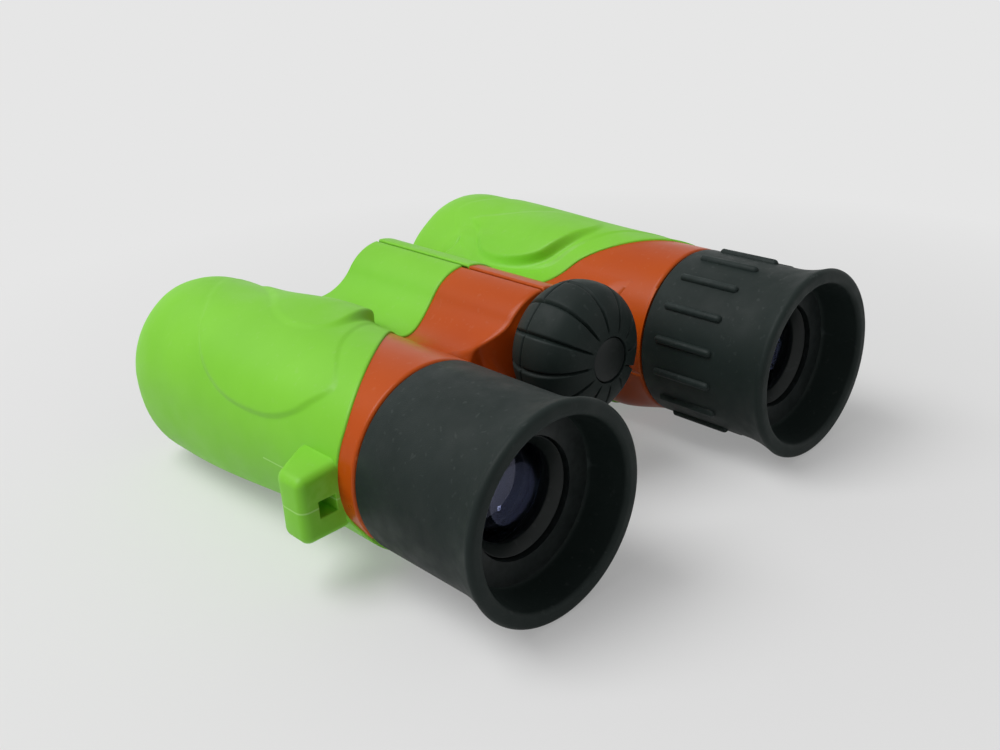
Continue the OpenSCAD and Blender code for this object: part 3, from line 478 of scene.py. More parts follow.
def depth_inside(outline, turn, place):
    inside, nearest, x = False, 1e9, turn * ARC
    for (x0, y0), (x1, y1) in zip(outline, outline[1:] + outline[:1]):
        ex, ey = x1 - x0, y1 - y0
        t = min(1.0, max(0.0, ((x - x0) * ex + (place - y0) * ey) / (ex * ex + ey * ey)))
        nearest = min(nearest, math.hypot(x - x0 - ex * t, place - y0 - ey * t))
        if (y0 > place) != (y1 > place) and x < x0 + ex * (place - y0) / ey:
            inside = not inside
    return nearest if inside else -nearest


def pad_height(turn, place):
    if not (PAD_TURNS[0] < turn < PAD_TURNS[1] and PAD_PLACES[0] < place < PAD_PLACES[1]):
        return 0.0
    upper = ease((turn - PAD_TOP) / PAD_FADE)
    inside = ease(0.5 + depth_inside(PAD, turn, place) / mix(*PAD_EDGE, upper))
    pad = mix(*PAD_HEIGHT, upper) * inside
    if not (LEAF_TURN < turn and LEAF_PLACE < place):
        return pad
    inward = ease((turn - LEAF_SIDE) / LEAF_FADE)
    rise = min(1, max(0, (LEAF_TIP - place) / LEAF_RISE))
    swell = mix(*LEAF_BASE, inward) + LEAF_HEIGHT * rise * mix(*LEAF_SHARE, inward)
    return pad + swell * ease(0.5 + depth_inside(LEAF, turn, place) / LEAF_EDGE)


print("pad heights", round(pad_height(45, 62), 2), round(pad_height(120, 66), 2))

# %% [markdown]
# A station is one column of the grid: a stretch of the chain and an angle on it. The point of a
# station also takes an inset, a distance into the skin, which rounds the edges of a moulding.
# The columns stand closer together on the upper side, where the pads are.

# %% Stations and points of a skin
TUCK_R, TUCK_SPAN, HUB_START, SIDE_ANGLE = 9.55, (28, 89.6), 94, 172
TUCKED_LIP = [("hub", 90.5, 0.35), ("hub", 91.0, 0.12), ("hub", 92.0, 0.02)]
OPEN_LIP = [("hub", 91.5, 0.7), ("hub", 91.6, 0.28), ("hub", 92.2, 0.08), ("hub", 93.4, 0)]


def stations(sec, tuck, steps):
    hub_touch, up, low = sec["up"][2], sec["up"][1], sec["low"][1] + 360
    chain = list(OPEN_LIP)
    if tuck:
        chain = [("tuck", a, 0) for a in spread(*TUCK_SPAN, 8)] + TUCKED_LIP
    chain += [("hub", a, 0) for a in spread(HUB_START, hub_touch, steps)]
    chain += [("valley", a, 0) for a in spread(hub_touch - 180, up - 180, 3 * steps)[1:-1]]
    round_barrel = spread(up, SIDE_ANGLE, 11 * steps)[:-1] + spread(SIDE_ANGLE, low, 6 * steps)
    chain += [("barrel", a, 0) for a in round_barrel]
    chain += [("hollow", a, 0) for a in spread(low - 180, sec["low"][2] - 180, steps)[1:]]
    return chain


def skin_point(sec, station, place, inset, pads):
    kind, angle, edge = station
    ray = Vector((math.cos(math.radians(angle)), math.sin(math.radians(angle))))
    inset += edge
    if kind == "tuck":
        return HINGE + ray * (TUCK_R - inset)
    if kind == "hub":
        return HINGE + ray * (sec["hub"] - inset)
    if kind == "hollow":
        return sec["low"][0] + ray * (sec["hollow"] + inset)
    if kind == "valley":
        point = sec["up"][0] + ray * (sec["valley"] + inset)
    else:
        point = ray * (shaped_r(sec, sec["barrel"], angle, place) - inset)
    if pads:
        turn = (180 - math.degrees(math.atan2(point.y, point.x))) % 360
        height = pad_height(turn, place)
        point += ray * (-height if kind == "valley" else height)
    return point


def in_frame(point, place):
    return at(point.x - BARREL_X, place, point.y + AXIS_Z)


print("stations of the left skin", len(stations(armor_sections["left"], True, 12)))

# %% [markdown]
# A grid primitive has its corners at plus and minus one, so each of its vertices knows its column
# and row. Wrapping it is then a matter of moving every vertex to the point of its station and row.

# %% Wrap a grid
def wrapped(bm, columns, rows, place_vertex):
    placed = {}
    for vert in bmesh.ops.create_grid(bm, x_segments=columns - 1, y_segments=rows - 1, size=1)["verts"]:
        column = round((vert.co.x + 1) / 2 * (columns - 1))
        row = round((vert.co.y + 1) / 2 * (rows - 1))
        vert.co = place_vertex(column, row)
        placed[column, row] = vert
    return placed


def face_out(bm):
    """Turns each connected sheet so that its faces look away from the line between the axes."""
    spine, left = at(HINGE.x - BARREL_X, 0, HINGE.y + AXIS_Z), set(bm.faces)
    axis = at(-BARREL_X, 0, AXIS_Z)
    run = spine - axis
    bm.normal_update()
    while left:
        sheet, todo = set(), [next(iter(left))]
        while todo:
            face = todo.pop()
            if face in left:
                left.discard(face)
                sheet.add(face)
                todo += [f for e in face.edges for f in e.link_faces]
        vote = 0
        for face in sheet:
            out = face.calc_center_median() - axis
            out -= run * min(1, max(0, out.dot(run) / run.length_squared))
            vote += face.calc_area() * (face.normal.x * out.x + face.normal.z * out.z)
        if vote < 0:
            bmesh.ops.reverse_faces(bm, faces=list(sheet))


print("grids wrap by column and row")

# %% [markdown]
# The seam between green and orange climbs from the side of the barrel over the top to the hinge.
# The green stands a little proud there, with a rounded edge that goes down beside the orange.

# %% The seam and the edge of the rubber
SIDE_SEAM, TOP_SEAM, SEAM_ROUND = 33.6, 54.2, 2.6
CLIMB_ANGLE, CLIMB_POWER, VALLEY_PACE = 150, 1.7, 0.62
SINK_ANGLE, SINK_RUN, WALL_ANGLE, WALL_RUN = 196, 18, 262, 34


def seam(sec, station):
    kind, angle, _ = station
    up = sec["up"][1]
    if kind in ("tuck", "hub"):
        return sec["seam"]
    if kind == "hollow":
        return BRIDGE_WALL
    if kind == "barrel" and angle >= CLIMB_ANGLE:
        low_end = mix(SIDE_SEAM, TUBE_START + 1, ease((angle - SINK_ANGLE) / SINK_RUN))
        return mix(low_end, BRIDGE_WALL, ease((angle - WALL_ANGLE) / WALL_RUN))
    past = angle - up + 180 if kind == "valley" else 0
    height = CLIMB_ANGLE - up
    climbed = height + VALLEY_PACE * past if kind == "valley" else CLIMB_ANGLE - angle
    rise = SIDE_SEAM + (TOP_SEAM - SIDE_SEAM) * (climbed / height) ** CLIMB_POWER
    limit = mix(TOP_SEAM, sec["seam"], ease(past / 90))
    return -SEAM_ROUND * math.log(math.exp(-rise / SEAM_ROUND) + math.exp(-limit / SEAM_ROUND))


EDGE_ROWS = [(0, 0.95), (0, 0.5), (0.06, 0.24), (0.2, 0.07), (0.45, 0)]
BODY_ROWS, SEAM_GAP = 104, 0.12
print("seam at the side", SIDE_SEAM, "and on top", TOP_SEAM)

# %% [markdown]
# The green shell is two grids that share an edge: one along the section from the seam to the end
# of the bridge, one ring from there round the objective, rounded at the end and turned in to the
# bezel. Merged, they shade as one skin, and a Solidify modifier gives the rubber its thickness.

# %% The green shells
ROUND_START, LIP_BORE = 96.0, 13.15
ROUND_R, ROUND_TURN, ROUND_EVEN = LENGTH - ROUND_START, 2.5, 0.6
RIM_ROWS = (
    [(s, 0, 0) for s in spread(BRIDGE_END, ROUND_START, 10)]
    + [(ROUND_START + ROUND_R * math.sin(t), 1 - math.cos(t), 0)
       for t in spread(0, math.pi / 2, 16)[1:]]
    + [(LENGTH, 0, 14.6), (LENGTH, 0, 13.7), (104.35, 0, 13.3), (103.95, 0, LIP_BORE),
       (101.3, 0, LIP_BORE)])


def rim_point(sec, angle, row):
    place, turn, bore = RIM_ROWS[row]
    full = ARMOR_R + SWELL - top_drop(sec, angle, place)
    own = shaped_r(sec, ARMOR_R, angle, place)
    r = bore or mix(own, full, ROUND_EVEN * turn) - ROUND_TURN * turn
    if not bore:
        r += pad_height((180 - angle) % 360, place)
    ray = Vector((math.cos(math.radians(angle)), math.sin(math.radians(angle))))
    return in_frame(ray * r, place)


def green_shell(side):
    sec = armor_sections[side]
    chain = stations(sec, side == "left", 12)
    bm = bmesh.new()

    def body_vertex(column, row):
        start = seam(sec, chain[column]) + SEAM_GAP
        ahead, inset = EDGE_ROWS[min(row, len(EDGE_ROWS) - 1)]
        share = max(0, row - len(EDGE_ROWS) + 1) / BODY_ROWS
        place = mix(start + ahead, BRIDGE_END, share)
        return in_frame(skin_point(sec, chain[column], place, inset, True), place)

    wrapped(bm, len(chain), len(EDGE_ROWS) + BODY_ROWS, body_vertex)
    round_barrel = [angle for kind, angle, _ in chain if kind == "barrel"]
    ring = round_barrel + spread(sec["low"][1] + 360, sec["up"][1] + 360, 30)[1:]
    wrapped(bm, len(ring), len(RIM_ROWS), lambda column, row: rim_point(sec, ring[column], row))
    close(bm)
    return bm


for side, mirrored in SIDES:
    shell = green_shell(side)
    face_out(shell)
    made = piece(shell, side + "_green_shell", green_rubber, "green_rubber", side + "_half",
                 side + "_armor", side + "_front_rim", right=mirrored, crease=50)
    wall = made.modifiers.new("rubber_thickness", "SOLIDIFY")
    wall.thickness, wall.offset = 0.7 * MM, -1

# %% [markdown]
# The strap lug stands out of the side of the shell. A grid of three by three faces, with the middle
# one taken out, is the plan of a block with a slot; extruded along the barrel, tapered and
# bevelled, it is the lug. That keeps the slot's walls joined to the block without a boolean.

# %% The strap lugs
LUG_X = (16.4, 18.05, 21.5, 25.0)
LUG_Z = (-8.1, -3.75, -0.7, 4.7)
LUG_START, LUG_ROOT, LUG_TIP, LUG_LEAN = 33.72, 10.4, 6.5, 0.9
LUG_ROUND, SLOT_ROUND, REACH = 1.7, 0.2, 0.1


def sharp_edges(bm, angle):
    return [e for e in bm.edges if e.is_manifold and e.calc_face_angle() > math.radians(angle)]


def bevel(bm, edges, radius, segments):
    bmesh.ops.bevel(bm, geom=edges, offset=radius * MM, offset_type="OFFSET", affect="EDGES",
                    segments=segments, profile=0.5, material=-1, clamp_overlap=True)


def strap_lug():
    bm = bmesh.new()

    def corner(column, row):
        lean = LUG_LEAN * (0.5 - column / 3) if row == 3 else 0
        return at(-BARREL_X - LUG_X[column], LUG_START, AXIS_Z + LUG_Z[row] + lean)

    def out(vert):
        return -vert.co.x / MM - BARREL_X

    def round_slot(edge):
        return all(LUG_X[1] - REACH < out(v) < LUG_X[2] + REACH
                   and LUG_Z[1] - REACH < v.co.z / MM - AXIS_Z < LUG_Z[2] + REACH
                   for v in edge.verts)

    def root(edge):
        return all(out(v) < LUG_X[0] + REACH for v in edge.verts)

    wrapped(bm, 4, 4, corner)
    middle = at(-BARREL_X - sum(LUG_X[1:3]) / 2, LUG_START, AXIS_Z + sum(LUG_Z[1:3]) / 2)
    hole = min(bm.faces, key=lambda f: (f.calc_center_median() - middle).length)
    bmesh.ops.delete(bm, geom=[hole], context="FACES")
    grown = bmesh.ops.extrude_face_region(bm, geom=bm.faces[:])["geom"]
    for vert in [g for g in grown if isinstance(g, bmesh.types.BMVert)]:
        share = max(0, out(vert) - ARMOR_R) / (LUG_X[3] - ARMOR_R)
        vert.co.y += mix(LUG_ROOT, LUG_TIP, share) * MM
    close(bm)
    sharp = sharp_edges(bm, 20)
    slot_edges = [e for e in sharp if round_slot(e)]
    bevel(bm, [e for e in sharp if e not in slot_edges and not root(e)], LUG_ROUND, 6)
    bevel(bm, [e for e in slot_edges if e.is_valid], SLOT_ROUND, 2)
    bmesh.ops.recalc_face_normals(bm, faces=bm.faces)
    return bm


for side, mirrored in SIDES:
    piece(strap_lug(), side + "_strap_lug", green_rubber, "green_rubber", side + "_half",
          side + "_armor", right=mirrored)

# %% [markdown]
# The orange saddle is the glossy moulding at the eyepiece end. It is four grids: the collar that
# faces the hinge, the barrel's outer side up to the seam, a strip below the barrel, and the bridge,
# which meets the collar and the outer side at one corner. From the bridge's rounded edge the wall
# behind the knob is extruded inwards.

# %% Where the saddle starts
COLLAR_ROWS, SADDLE_ROWS, ROW_POWER, TUCK_UNDER, LIP_ROUND = 14, 20, 1.6, 0.7, 0.7
LIP = [(0, 0.8), (0.05, 0.42), (0.22, 0.14), (0.6, 0)]
BLEND = [(0, 1), (1.3, 0.82), (2.7, 0.3), (4.2, 0)]
BLEND_FROM, BLEND_RUN = {"left": 0.45, "right": 0.22}, 0.3
WALL_PLACE = {"left": 37.15, "right": 36.75}
CORNER_START, HUB_RIM, HUB_EDGE = 36.5, 38.0, 90.5
VALLEY_RIM, RISE_END, FALL_START = 41.0, 0.45, 0.4


def valley_share(station, sec):
    kind, angle, _ = station
    hub_touch, up = sec["up"][2], sec["up"][1]
    return (hub_touch - 180 - angle) / (hub_touch - up) if kind == "valley" else 0


def saddle_start(station, sec):
    kind, angle, _ = station
    if kind == "hub":
        share = max(0, angle - HUB_EDGE) / (sec["up"][2] - HUB_EDGE)
        return mix(BRIDGE_START, HUB_RIM, share ** 2)
    if kind == "valley":
        share = valley_share(station, sec)
        fall = (VALLEY_RIM - CORNER_START) * ease((share - FALL_START) / (1 - FALL_START))
        return mix(HUB_RIM, VALLEY_RIM, ease(share / RISE_END)) - fall
    return BRIDGE_START if kind == "tuck" else CORNER_START


def lip_inset(place):
    ahead = min(1, (place - TUBE_START) / LIP_ROUND)
    return LIP_ROUND * (1 - math.sqrt(max(0, 1 - (1 - ahead) ** 2)))


print("the bridge starts at", BRIDGE_START, "on the ridge")

# %% The orange saddles
PROUD, OUTER_END, UNDER_START, CORNER_COLUMNS = 0.04, 214, 258, 3
COLLAR_TAIL, TAIL_STEP = 4, 1.1


def orange_saddle(side):
    sec = cover_sections[side]
    chain = stations(sec, side == "left", 12)
    barrel = [s for s in chain if s[0] == "barrel" and s[1] < OUTER_END]
    under = [s for s in chain if s[0] == "barrel" and s[1] > UNDER_START]
    corner = barrel[0]
    bridge = [s for s in chain if s[0] in ("tuck", "hub", "valley")] + [corner]
    collar = spread(sec["low"][1], sec["up"][1], 30)
    bm = bmesh.new()

    def row_place(station, row):
        end, full = seam(sec, station) + TUCK_UNDER, seam(sec, corner) + TUCK_UNDER
        knee = TUBE_START + (end - TUBE_START) * (CORNER_START - TUBE_START) / (full - TUBE_START)
        if row < COLLAR_ROWS:
            return mix(TUBE_START, knee, (row / COLLAR_ROWS) ** ROW_POWER)
        return mix(knee, end, (row - COLLAR_ROWS) / SADDLE_ROWS)

    def barrel_vertex(station, place):
        return in_frame(skin_point(sec, station, place, lip_inset(place) - PROUD, False), place)

    def outer_vertex(column, row):
        return barrel_vertex(barrel[column], row_place(barrel[column], row))

    def under_vertex(column, row):
        end = seam(sec, under[column]) + TUCK_UNDER
        return barrel_vertex(under[column], mix(TUBE_START, end, (row / COLLAR_ROWS) ** ROW_POWER))

    def collar_vertex(column, row):
        place, turn = row_place(corner, min(row, COLLAR_ROWS)), math.radians(collar[column])
        place += TAIL_STEP * max(0, row - COLLAR_ROWS)
        ray = Vector((math.cos(turn), math.sin(turn)))
        return in_frame(ray * (COVER_R + PROUD - lip_inset(place)), place)

    def bridge_vertex(column, row):
        station = bridge[column]
        share = (valley_share(station, sec) - BLEND_FROM[side]) / BLEND_RUN
        blend = 1 if station == corner else ease(share)
        height = max(0, skin_point(sec, station, BRIDGE_START, 0, False).length - COVER_R)
        lip, slope = LIP[min(row, len(LIP) - 1)], BLEND[min(row, len(LIP) - 1)]
        ahead = mix(lip[0], slope[0], blend) * ease((len(bridge) - 1 - column) / CORNER_COLUMNS)
        inset = mix(lip[1], slope[1] * height, blend)
        start, end = saddle_start(station, sec) + ahead, seam(sec, station) + TUCK_UNDER
        place = mix(start, end, max(0, row - len(LIP) + 1) / SADDLE_ROWS)
        return in_frame(skin_point(sec, station, place, inset - PROUD, False), place)

    rows = wrapped(bm, len(bridge), len(LIP) + SADDLE_ROWS, bridge_vertex)
    wrapped(bm, len(barrel), COLLAR_ROWS + SADDLE_ROWS + 1, outer_vertex)
    wrapped(bm, len(under), COLLAR_ROWS + 1, under_vertex)
    wrapped(bm, len(collar), COLLAR_ROWS + 1 + COLLAR_TAIL, collar_vertex)
    edge = [rows[column, 0] for column in range(len(bridge))]
    rim = [bm.edges.get(pair) for pair in zip(edge, edge[1:])]
    end_wall(bm, rim, WALL_PLACE[side])
    close(bm)
    return bm


END_RADII, END_DROP = (8.7, 3.4), 6.2
HUB_FROM, HUB_RUN, DEEP_FROM, DEEP_RUN = 14, 7, 10, 8


def end_wall(bm, rim, inner_place):
    along = HINGE.normalized()
    across = Vector((along.y, -along.x))
    for radius in END_RADII:
        grown = bmesh.ops.extrude_edge_only(bm, edges=rim)["geom"]
        rim = [g for g in grown if isinstance(g, bmesh.types.BMEdge)
               and all(len(v.link_faces) < 3 and v in grown for v in g.verts)]
        for vert in [g for g in grown if isinstance(g, bmesh.types.BMVert)]:
            point = Vector((vert.co.x / MM + BARREL_X, vert.co.z / MM - AXIS_Z))
            place = vert.co.y / MM + LENGTH / 2
            reach = point - HINGE
            near_hub = ease((reach.dot(along) + HUB_FROM) / HUB_RUN)
            spot = along * point.dot(along) + across * END_DROP
            spot = spot.lerp(HINGE + reach.normalized() * radius, near_hub)
            outward = ease(((spot - HINGE).length - DEEP_FROM) / DEEP_RUN)
            vert.co = in_frame(spot, mix(inner_place, place, outward))


for side, mirrored in SIDES:
    saddle = orange_saddle(side)
    face_out(saddle)
    made = piece(saddle, side + "_orange_saddle", orange_plastic, "orange_plastic", side + "_half",
                 side + "_cover", right=mirrored, crease=60)
    wall = made.modifiers.new("moulding_thickness", "SOLIDIFY")
    wall.thickness, wall.offset = 0.3 * MM, -1

# %% [markdown]
# Eyecups, rings, lenses and the knob are turned shapes. An outline of radius and place is drawn
# once beside its axis and spun all the way round; the doubled seam is merged. Sharp rings are then
# softened with a small bevel, as a mould's edges are.

# %% Turn an outline
def turned(outline, steps, x=-BARREL_X, z=AXIS_Z, shut=True):
    bm = bmesh.new()
    verts = [bm.verts.new(at(x + r, place, z)) for r, place in outline]
    pairs = zip(verts, verts[1:] + (verts[:1] if shut else []))
    edges = [bm.edges.new(pair) for pair in pairs]
    bmesh.ops.spin(bm, geom=verts + edges, cent=at(x, 0, z), axis=(0, 1, 0), dvec=(0, 0, 0),
                   angle=math.tau, steps=steps, use_merge=True, use_duplicate=False)
    close(bm)
    return bm


def soften(bm, radius, segments, angle=35):
    bevel(bm, sharp_edges(bm, angle), radius, segments)


def arc(r, place, size, start, end, count):
    return [(r + size * math.cos(math.radians(a)), place + size * math.sin(math.radians(a)))
            for a in spread(start, end, count)]


print("outlines turn round", (-BARREL_X, AXIS_Z))

# %% [markdown]
# The eyecups are soft rubber sleeves that flare to a rounded lip. The left one is plain. The right
# one turns to set the diopter, so it has sixteen grip ribs. A rib is a sphere pulled apart at its
# waist into a bar with round ends, then turned to its place.

# %% The eyecups
CUP_R, LIP_R, MOUTH_R, CUP_END = 17.4, 18.9, 16.0, 29.3
CUP = ([(14.9, CUP_END), (16.9, CUP_END), (17.25, 29.15), (CUP_R, 28.8)]
       + [(mix(CUP_R, LIP_R, t ** 2), mix(9, 1, t)) for t in spread(0, 1, 14)]
       + arc(LIP_R - 1, 1, 1, 0, -90, 8)[1:] + arc(MOUTH_R + 1, 1, 1, -90, -180, 8)
       + [(15.6, 4.5), (15.25, 7.2), (15.1, 7.8), (14.9, 8)])


RIBS, RIB_R, RIB_HALF, RIB_PLACE, RIB_SINK, RIB_SHIFT = 16, 0.85, 5.95, 19.25, 0.15, 0.3


def grip_rib(bm, turn):
    spin = Matrix.Rotation(math.radians(turn), 4, "Y")
    for vert in bmesh.ops.create_uvsphere(bm, u_segments=16, v_segments=10, radius=1)["verts"]:
        across, up, along = vert.co.x * RIB_R, vert.co.y, vert.co.z * RIB_R
        along += RIB_HALF if along > 0 else -RIB_HALF
        p = spin @ Vector((CUP_R - RIB_SINK + up, RIB_PLACE + along, across))
        vert.co = at(-BARREL_X + p.x, p.y, AXIS_Z + p.z)


for side, mirrored in SIDES:
    cup = turned(CUP, 128)
    if side == "right":
        for i in range(RIBS):
            grip_rib(cup, 360 * (i + RIB_SHIFT) / RIBS)
        bmesh.ops.recalc_face_normals(cup, faces=cup.faces)
    body = "diopter" if side == "right" else "left_half"
    piece(cup, side + "_soft_eyecup", black_rubber, "black_rubber", body, side + "_eyecup",
          right=mirrored)

# %% [markdown]
# Inside each cup a bevelled ring holds the eye lens. The lens is a thick dome: two shallow arcs
# that meet at the edge, turned once, so that its highlights are round.

# %% The eye lenses and their rings
RING = [(8.6, 10.7), (10.15, 9.0), (10.3, 9.0), (10.3, 10.68), (10.13, 10.68), (10.13, 11.6),
        (8.6, 11.6)]


def lens_outline(r, start, thick, bulge):
    ball = (r * r + bulge * bulge) / (2 * bulge)
    half = math.degrees(math.asin(r / ball))
    front = arc(0, start + ball, ball, -90, half - 90, 16)
    return front + arc(0, start + thick - ball, ball, 90 - half, 90, 16)


for side, mirrored in SIDES:
    body = "right_ocular" if side == "right" else "left_half"
    ring = turned(RING, 96)
    soften(ring, 0.1, 2)
    piece(ring, side + "_lens_ring", black_plastic, "black_plastic", body,
          side + "_ocular_retainer", right=mirrored)
    dome = turned(lens_outline(r=10.1, start=11.75, thick=5, bulge=2.2), 96, shut=False)
    piece(dome, side + "_coated_eye_lens", lens_glass, "glass", body, side + "_eye_lens",
          right=mirrored)

# %% [markdown]
# At the other end a bezel with a smooth bore takes a push-in cap, and the objective lens lies
# behind it. Both are turned as the eyepiece is.

# %% The objective ends
BEZEL = [(11.6, 96.9), (14.55, 96.9), (14.55, 101.1), (13, 101.1), (13, 104.1), (11.6, 104.1)]
for side, mirrored in SIDES:
    bezel = turned(BEZEL, 96)
    soften(bezel, 0.3, 3)
    piece(bezel, side + "_front_bezel", black_plastic, "black_plastic", side + "_half",
          side + "_objective_bezel", right=mirrored)
    low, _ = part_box(side + "_objective_lens")
    start = low.y / MM + LENGTH / 2
    dome = turned(lens_outline(r=11.28, start=start, thick=5, bulge=1.2), 96, shut=False)
    piece(dome, side + "_coated_objective", lens_glass, "glass", side + "_objective",
          side + "_objective_lens", right=mirrored)

# %% [markdown]
# The focus knob is a rounded rubber grip with twelve fine grooves that run from the disc in its
# face to the back, and one hairline round it. The grip is spun with many steps, and then the
# vertices near a groove are pushed in along their own normals.

# %% The focus knob
KNOB_START, KNOB_LENGTH, KNOB_R, KNOB_BORE, KNOB_BACK = 20.9, 14.4, 13.2, 4.35, 35.4
GROOVES, GROOVE_DEPTH, GROOVE_HALF, GROOVE_FROM, GROOVE_RUN = 12, 0.75, 2.4, 4.6, 1.6
HAIR_PLACE, HAIR_DEPTH, HAIR_HALF = 31.3, 0.42, 0.36
SMOOTH_BORE, SMOOTH_BACK = 4.4, 35.25
PROFILE = [(0, 0.34), (0.03, 0.5), (0.11, 0.71), (0.26, 0.89), (0.42, 0.975), (0.58, 1.0),
           (0.74, 0.985), (0.88, 0.93), (1, 0.84)]
curve = [(KNOB_R * r, KNOB_START + KNOB_LENGTH * s) for s, r in smooth_curve(PROFILE, 11)]
grip = [(KNOB_BORE, 22.6), *curve, (10.5, KNOB_BACK), (KNOB_BORE, KNOB_BACK)]
knob = turned(grip, 288, x=0, z=HINGE_Z)
knob.normal_update()
for vert in list(knob.verts):
    x, place, z = vert.co.x / MM, vert.co.y / MM + LENGTH / 2, vert.co.z / MM - HINGE_Z
    r = math.hypot(x, z)
    if r < SMOOTH_BORE or place > SMOOTH_BACK:
        continue
    turn = math.degrees(math.atan2(z, x)) % (360 / GROOVES)
    off = min(turn, 360 / GROOVES - turn)
    groove = GROOVE_DEPTH * ease(1 - off / GROOVE_HALF) * ease((r - GROOVE_FROM) / GROOVE_RUN)
    hairline = HAIR_DEPTH * ease(1 - abs(place - HAIR_PLACE) / HAIR_HALF)
    vert.co -= vert.normal * max(groove, hairline) * MM
piece(knob, "knob_soft_grip", black_rubber, "black_rubber", "focus_knob", "knob_grip", crease=60)

DISC = [(0, 20.72), (2, 20.78), (3.5, 20.95), (4.15, 21.15), (4.3, 21.5), (4.3, 22.8), (0, 22.8)]
disc = turned(DISC, 72, x=0, z=HINGE_Z, shut=False)
piece(disc, "knob_face_disc", black_plastic, "black_plastic", "focus_knob", "knob_disc")

# %% [markdown]
# The cap at the front of the hinge is a turned disc with a soft edge and a shallow dish.

# %% The hinge cap
CAP = [(0, 86.7), (6.38, 86.7), (6.38, 88.02), (8.4, 88.02), (8.4, 88.8), (6.4, 88.8),
       (5.8, 88.5), (0, 88.5)]
cap = turned(CAP, 72, x=0, z=HINGE_Z, shut=False)
soften(cap, 0.18, 2, 40)
piece(cap, "hinge_front_cap", black_plastic, "black_plastic", "left_half", "hinge_cap")

# %% [markdown]
# The stage is a pale floor under soft light. The photograph's even background comes from the colour
# that camera, mirror and glass rays see far from the object; near the object the floor is a plain
# matt surface and keeps its shadow.

# %% The floor
PALE, FLOOR_HALF = srgb(230, 230, 230), 4
SHADOW_R, EVEN_R, NEAR_SHARE = 0.06, 0.2, 0.35
ground = bmesh.new()
bmesh.ops.create_grid(ground, x_segments=1, y_segments=1, size=FLOOR_HALF)
floor_mesh = bpy.data.meshes.new("floor")
ground.to_mesh(floor_mesh)
ground.free()
floor = bpy.data.objects.new("floor", floor_mesh)
bpy.context.scene.collection.objects.link(floor)
pale = bpy.data.materials.new("pale_floor")
pale.use_nodes = True
tree = pale.node_tree
matt = tree.nodes["Principled BSDF"]
matt.inputs["Base Color"].default_value = PALE
matt.inputs["Roughness"].default_value = 0.9
matt.inputs["Specular IOR Level"].default_value = 0.0
even = tree.nodes.new("ShaderNodeEmission")
even.inputs["Color"].default_value = PALE


def seen_rays(tree):
    path = tree.nodes.new("ShaderNodeLightPath")
    both = math_node(tree, "MAXIMUM", path.outputs["Is Camera Ray"], path.outputs["Is Glossy Ray"])
    return math_node(tree, "MAXIMUM", both, path.outputs["Is Transmission Ray"])


away = tree.nodes.new("ShaderNodeVectorMath")
away.operation = "LENGTH"
tree.links.new(tree.nodes.new("ShaderNodeTexCoord").outputs["Object"], away.inputs[0])
far = remap(tree, away.outputs["Value"], SHADOW_R, EVEN_R, NEAR_SHARE, 1.0)
blend = tree.nodes.new("ShaderNodeMixShader")
tree.links.new(math_node(tree, "MULTIPLY", far, seen_rays(tree)), blend.inputs[0])
tree.links.new(matt.outputs[0], blend.inputs[1])
tree.links.new(even.outputs[0], blend.inputs[2])
tree.links.new(blend.outputs[0], tree.nodes["Material Output"].inputs["Surface"])
floor_mesh.materials.append(pale)
print("floor", floor.dimensions)

# %% The world
world = bpy.data.worlds.new("studio")
bpy.context.scene.world = world
world.use_nodes = True
tree = world.node_tree
tree.nodes.clear()
AMBIENT = 0.23
ambient, backdrop = (tree.nodes.new("ShaderNodeBackground") for _ in range(2))
for shade, colour, strength in ((ambient, (1, 1, 1, 1), AMBIENT), (backdrop, PALE, 1.0)):
    shade.inputs["Color"].default_value = colour
    shade.inputs["Strength"].default_value = strength
blend, out = tree.nodes.new("ShaderNodeMixShader"), tree.nodes.new("ShaderNodeOutputWorld")
tree.links.new(seen_rays(tree), blend.inputs[0])
tree.links.new(ambient.outputs[0], blend.inputs[1])
tree.links.new(backdrop.outputs[0], blend.inputs[2])
tree.links.new(blend.outputs[0], out.inputs["Surface"])
bpy.context.scene.view_settings.view_transform = "Standard"
print("world", world.name)

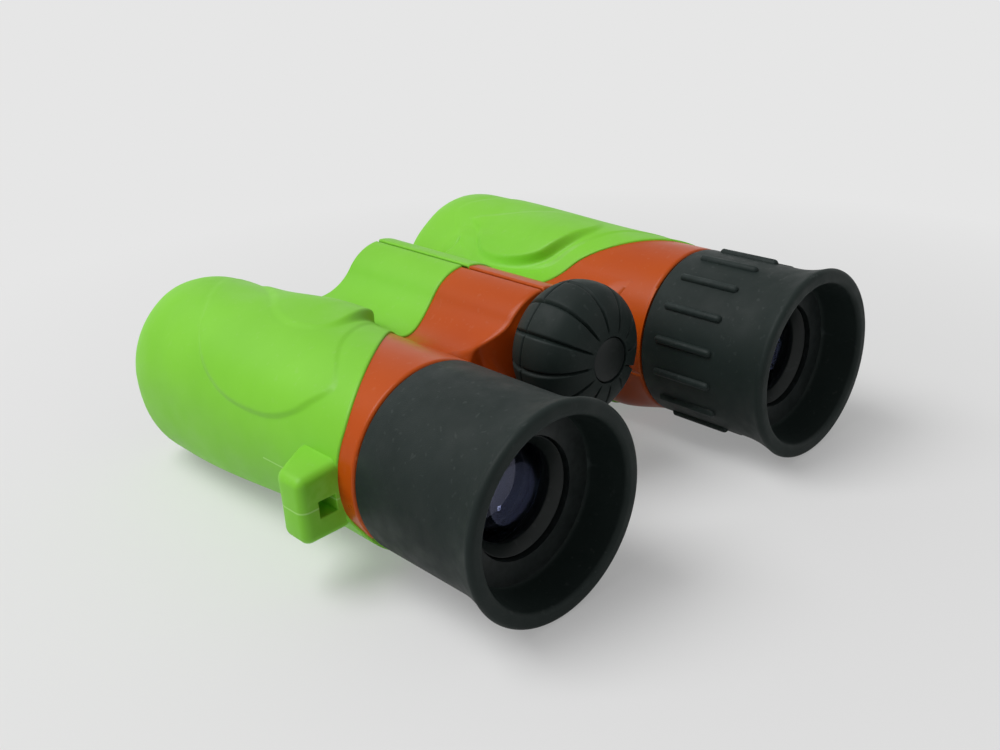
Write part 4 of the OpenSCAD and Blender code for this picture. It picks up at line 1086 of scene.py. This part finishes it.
# %% [markdown]
# Three soft lamps: a large one above on the left for the long highlights on the barrels, one low
# on the left for the outer sides, and a small weak one on the eyepiece side, low on the right, that
# glints in the lenses.

# %% The lamps
LAMP_AIM = Vector((0, 0, 0.02))


def lamp(name, place, size, power):
    data = bpy.data.lights.new(name, "AREA")
    data.shape, data.size, data.energy = "SQUARE", size, power
    made = bpy.data.objects.new(name, data)
    bpy.context.scene.collection.objects.link(made)
    made.location = place
    made.rotation_euler = (LAMP_AIM - Vector(place)).to_track_quat("-Z", "Y").to_euler()
    print("lamp", name, power, "W")


lamp("top_lamp", (-0.4, 0.25, 0.85), size=0.6, power=7.3)
lamp("left_lamp", (-0.9, 0.1, 0.35), size=0.5, power=0.3)
lamp("eye_lamp", (0.45, -0.78, 0.085), size=0.1, power=0.22)

# %% [markdown]
# The camera stands where the photograph was taken from: behind the eyepieces, to the left and
# above, turned a few degrees. Its place was measured from the circles of the eyecups, in a unit
# of its own, which FIT_SCALE turns into millimetres.

# %% The camera
TURN, LIFT, ROLL = -42.289, 24.281, -3.937
ASIDE, RAISED, DISTANCE, FIT_SCALE = -23.537, 5.412, 217.919, 0.942
AIM, SENSOR, LENS_SHARE = Vector((0, 20, 0)), 36.0, 1.11067
turn, lift, roll = (math.radians(a) for a in (TURN, LIFT, ROLL))
back = Vector((math.sin(turn) * math.cos(lift), -math.cos(turn) * math.cos(lift), math.sin(lift)))
right = (-back).cross(Vector((0, 0, 1))).normalized()
up = right.cross(-back)
across = right * math.cos(roll) + up * math.sin(roll)
upward = up * math.cos(roll) - right * math.sin(roll)
eye = (AIM + across * ASIDE + upward * RAISED + back * DISTANCE) * FIT_SCALE
camera_data = bpy.data.cameras.new("camera")
camera_data.sensor_width, camera_data.lens = SENSOR, SENSOR * LENS_SHARE
camera_data.clip_start, camera_data.clip_end = 0.01, 50
camera = bpy.data.objects.new("camera", camera_data)
bpy.context.scene.collection.objects.link(camera)
stance = Matrix((across, upward, back)).transposed().to_4x4()
camera.matrix_world = Matrix.Translation(at(eye.x, eye.y, eye.z + AXIS_Z)) @ stance
bpy.context.scene.camera = camera
print("camera at", camera.location)
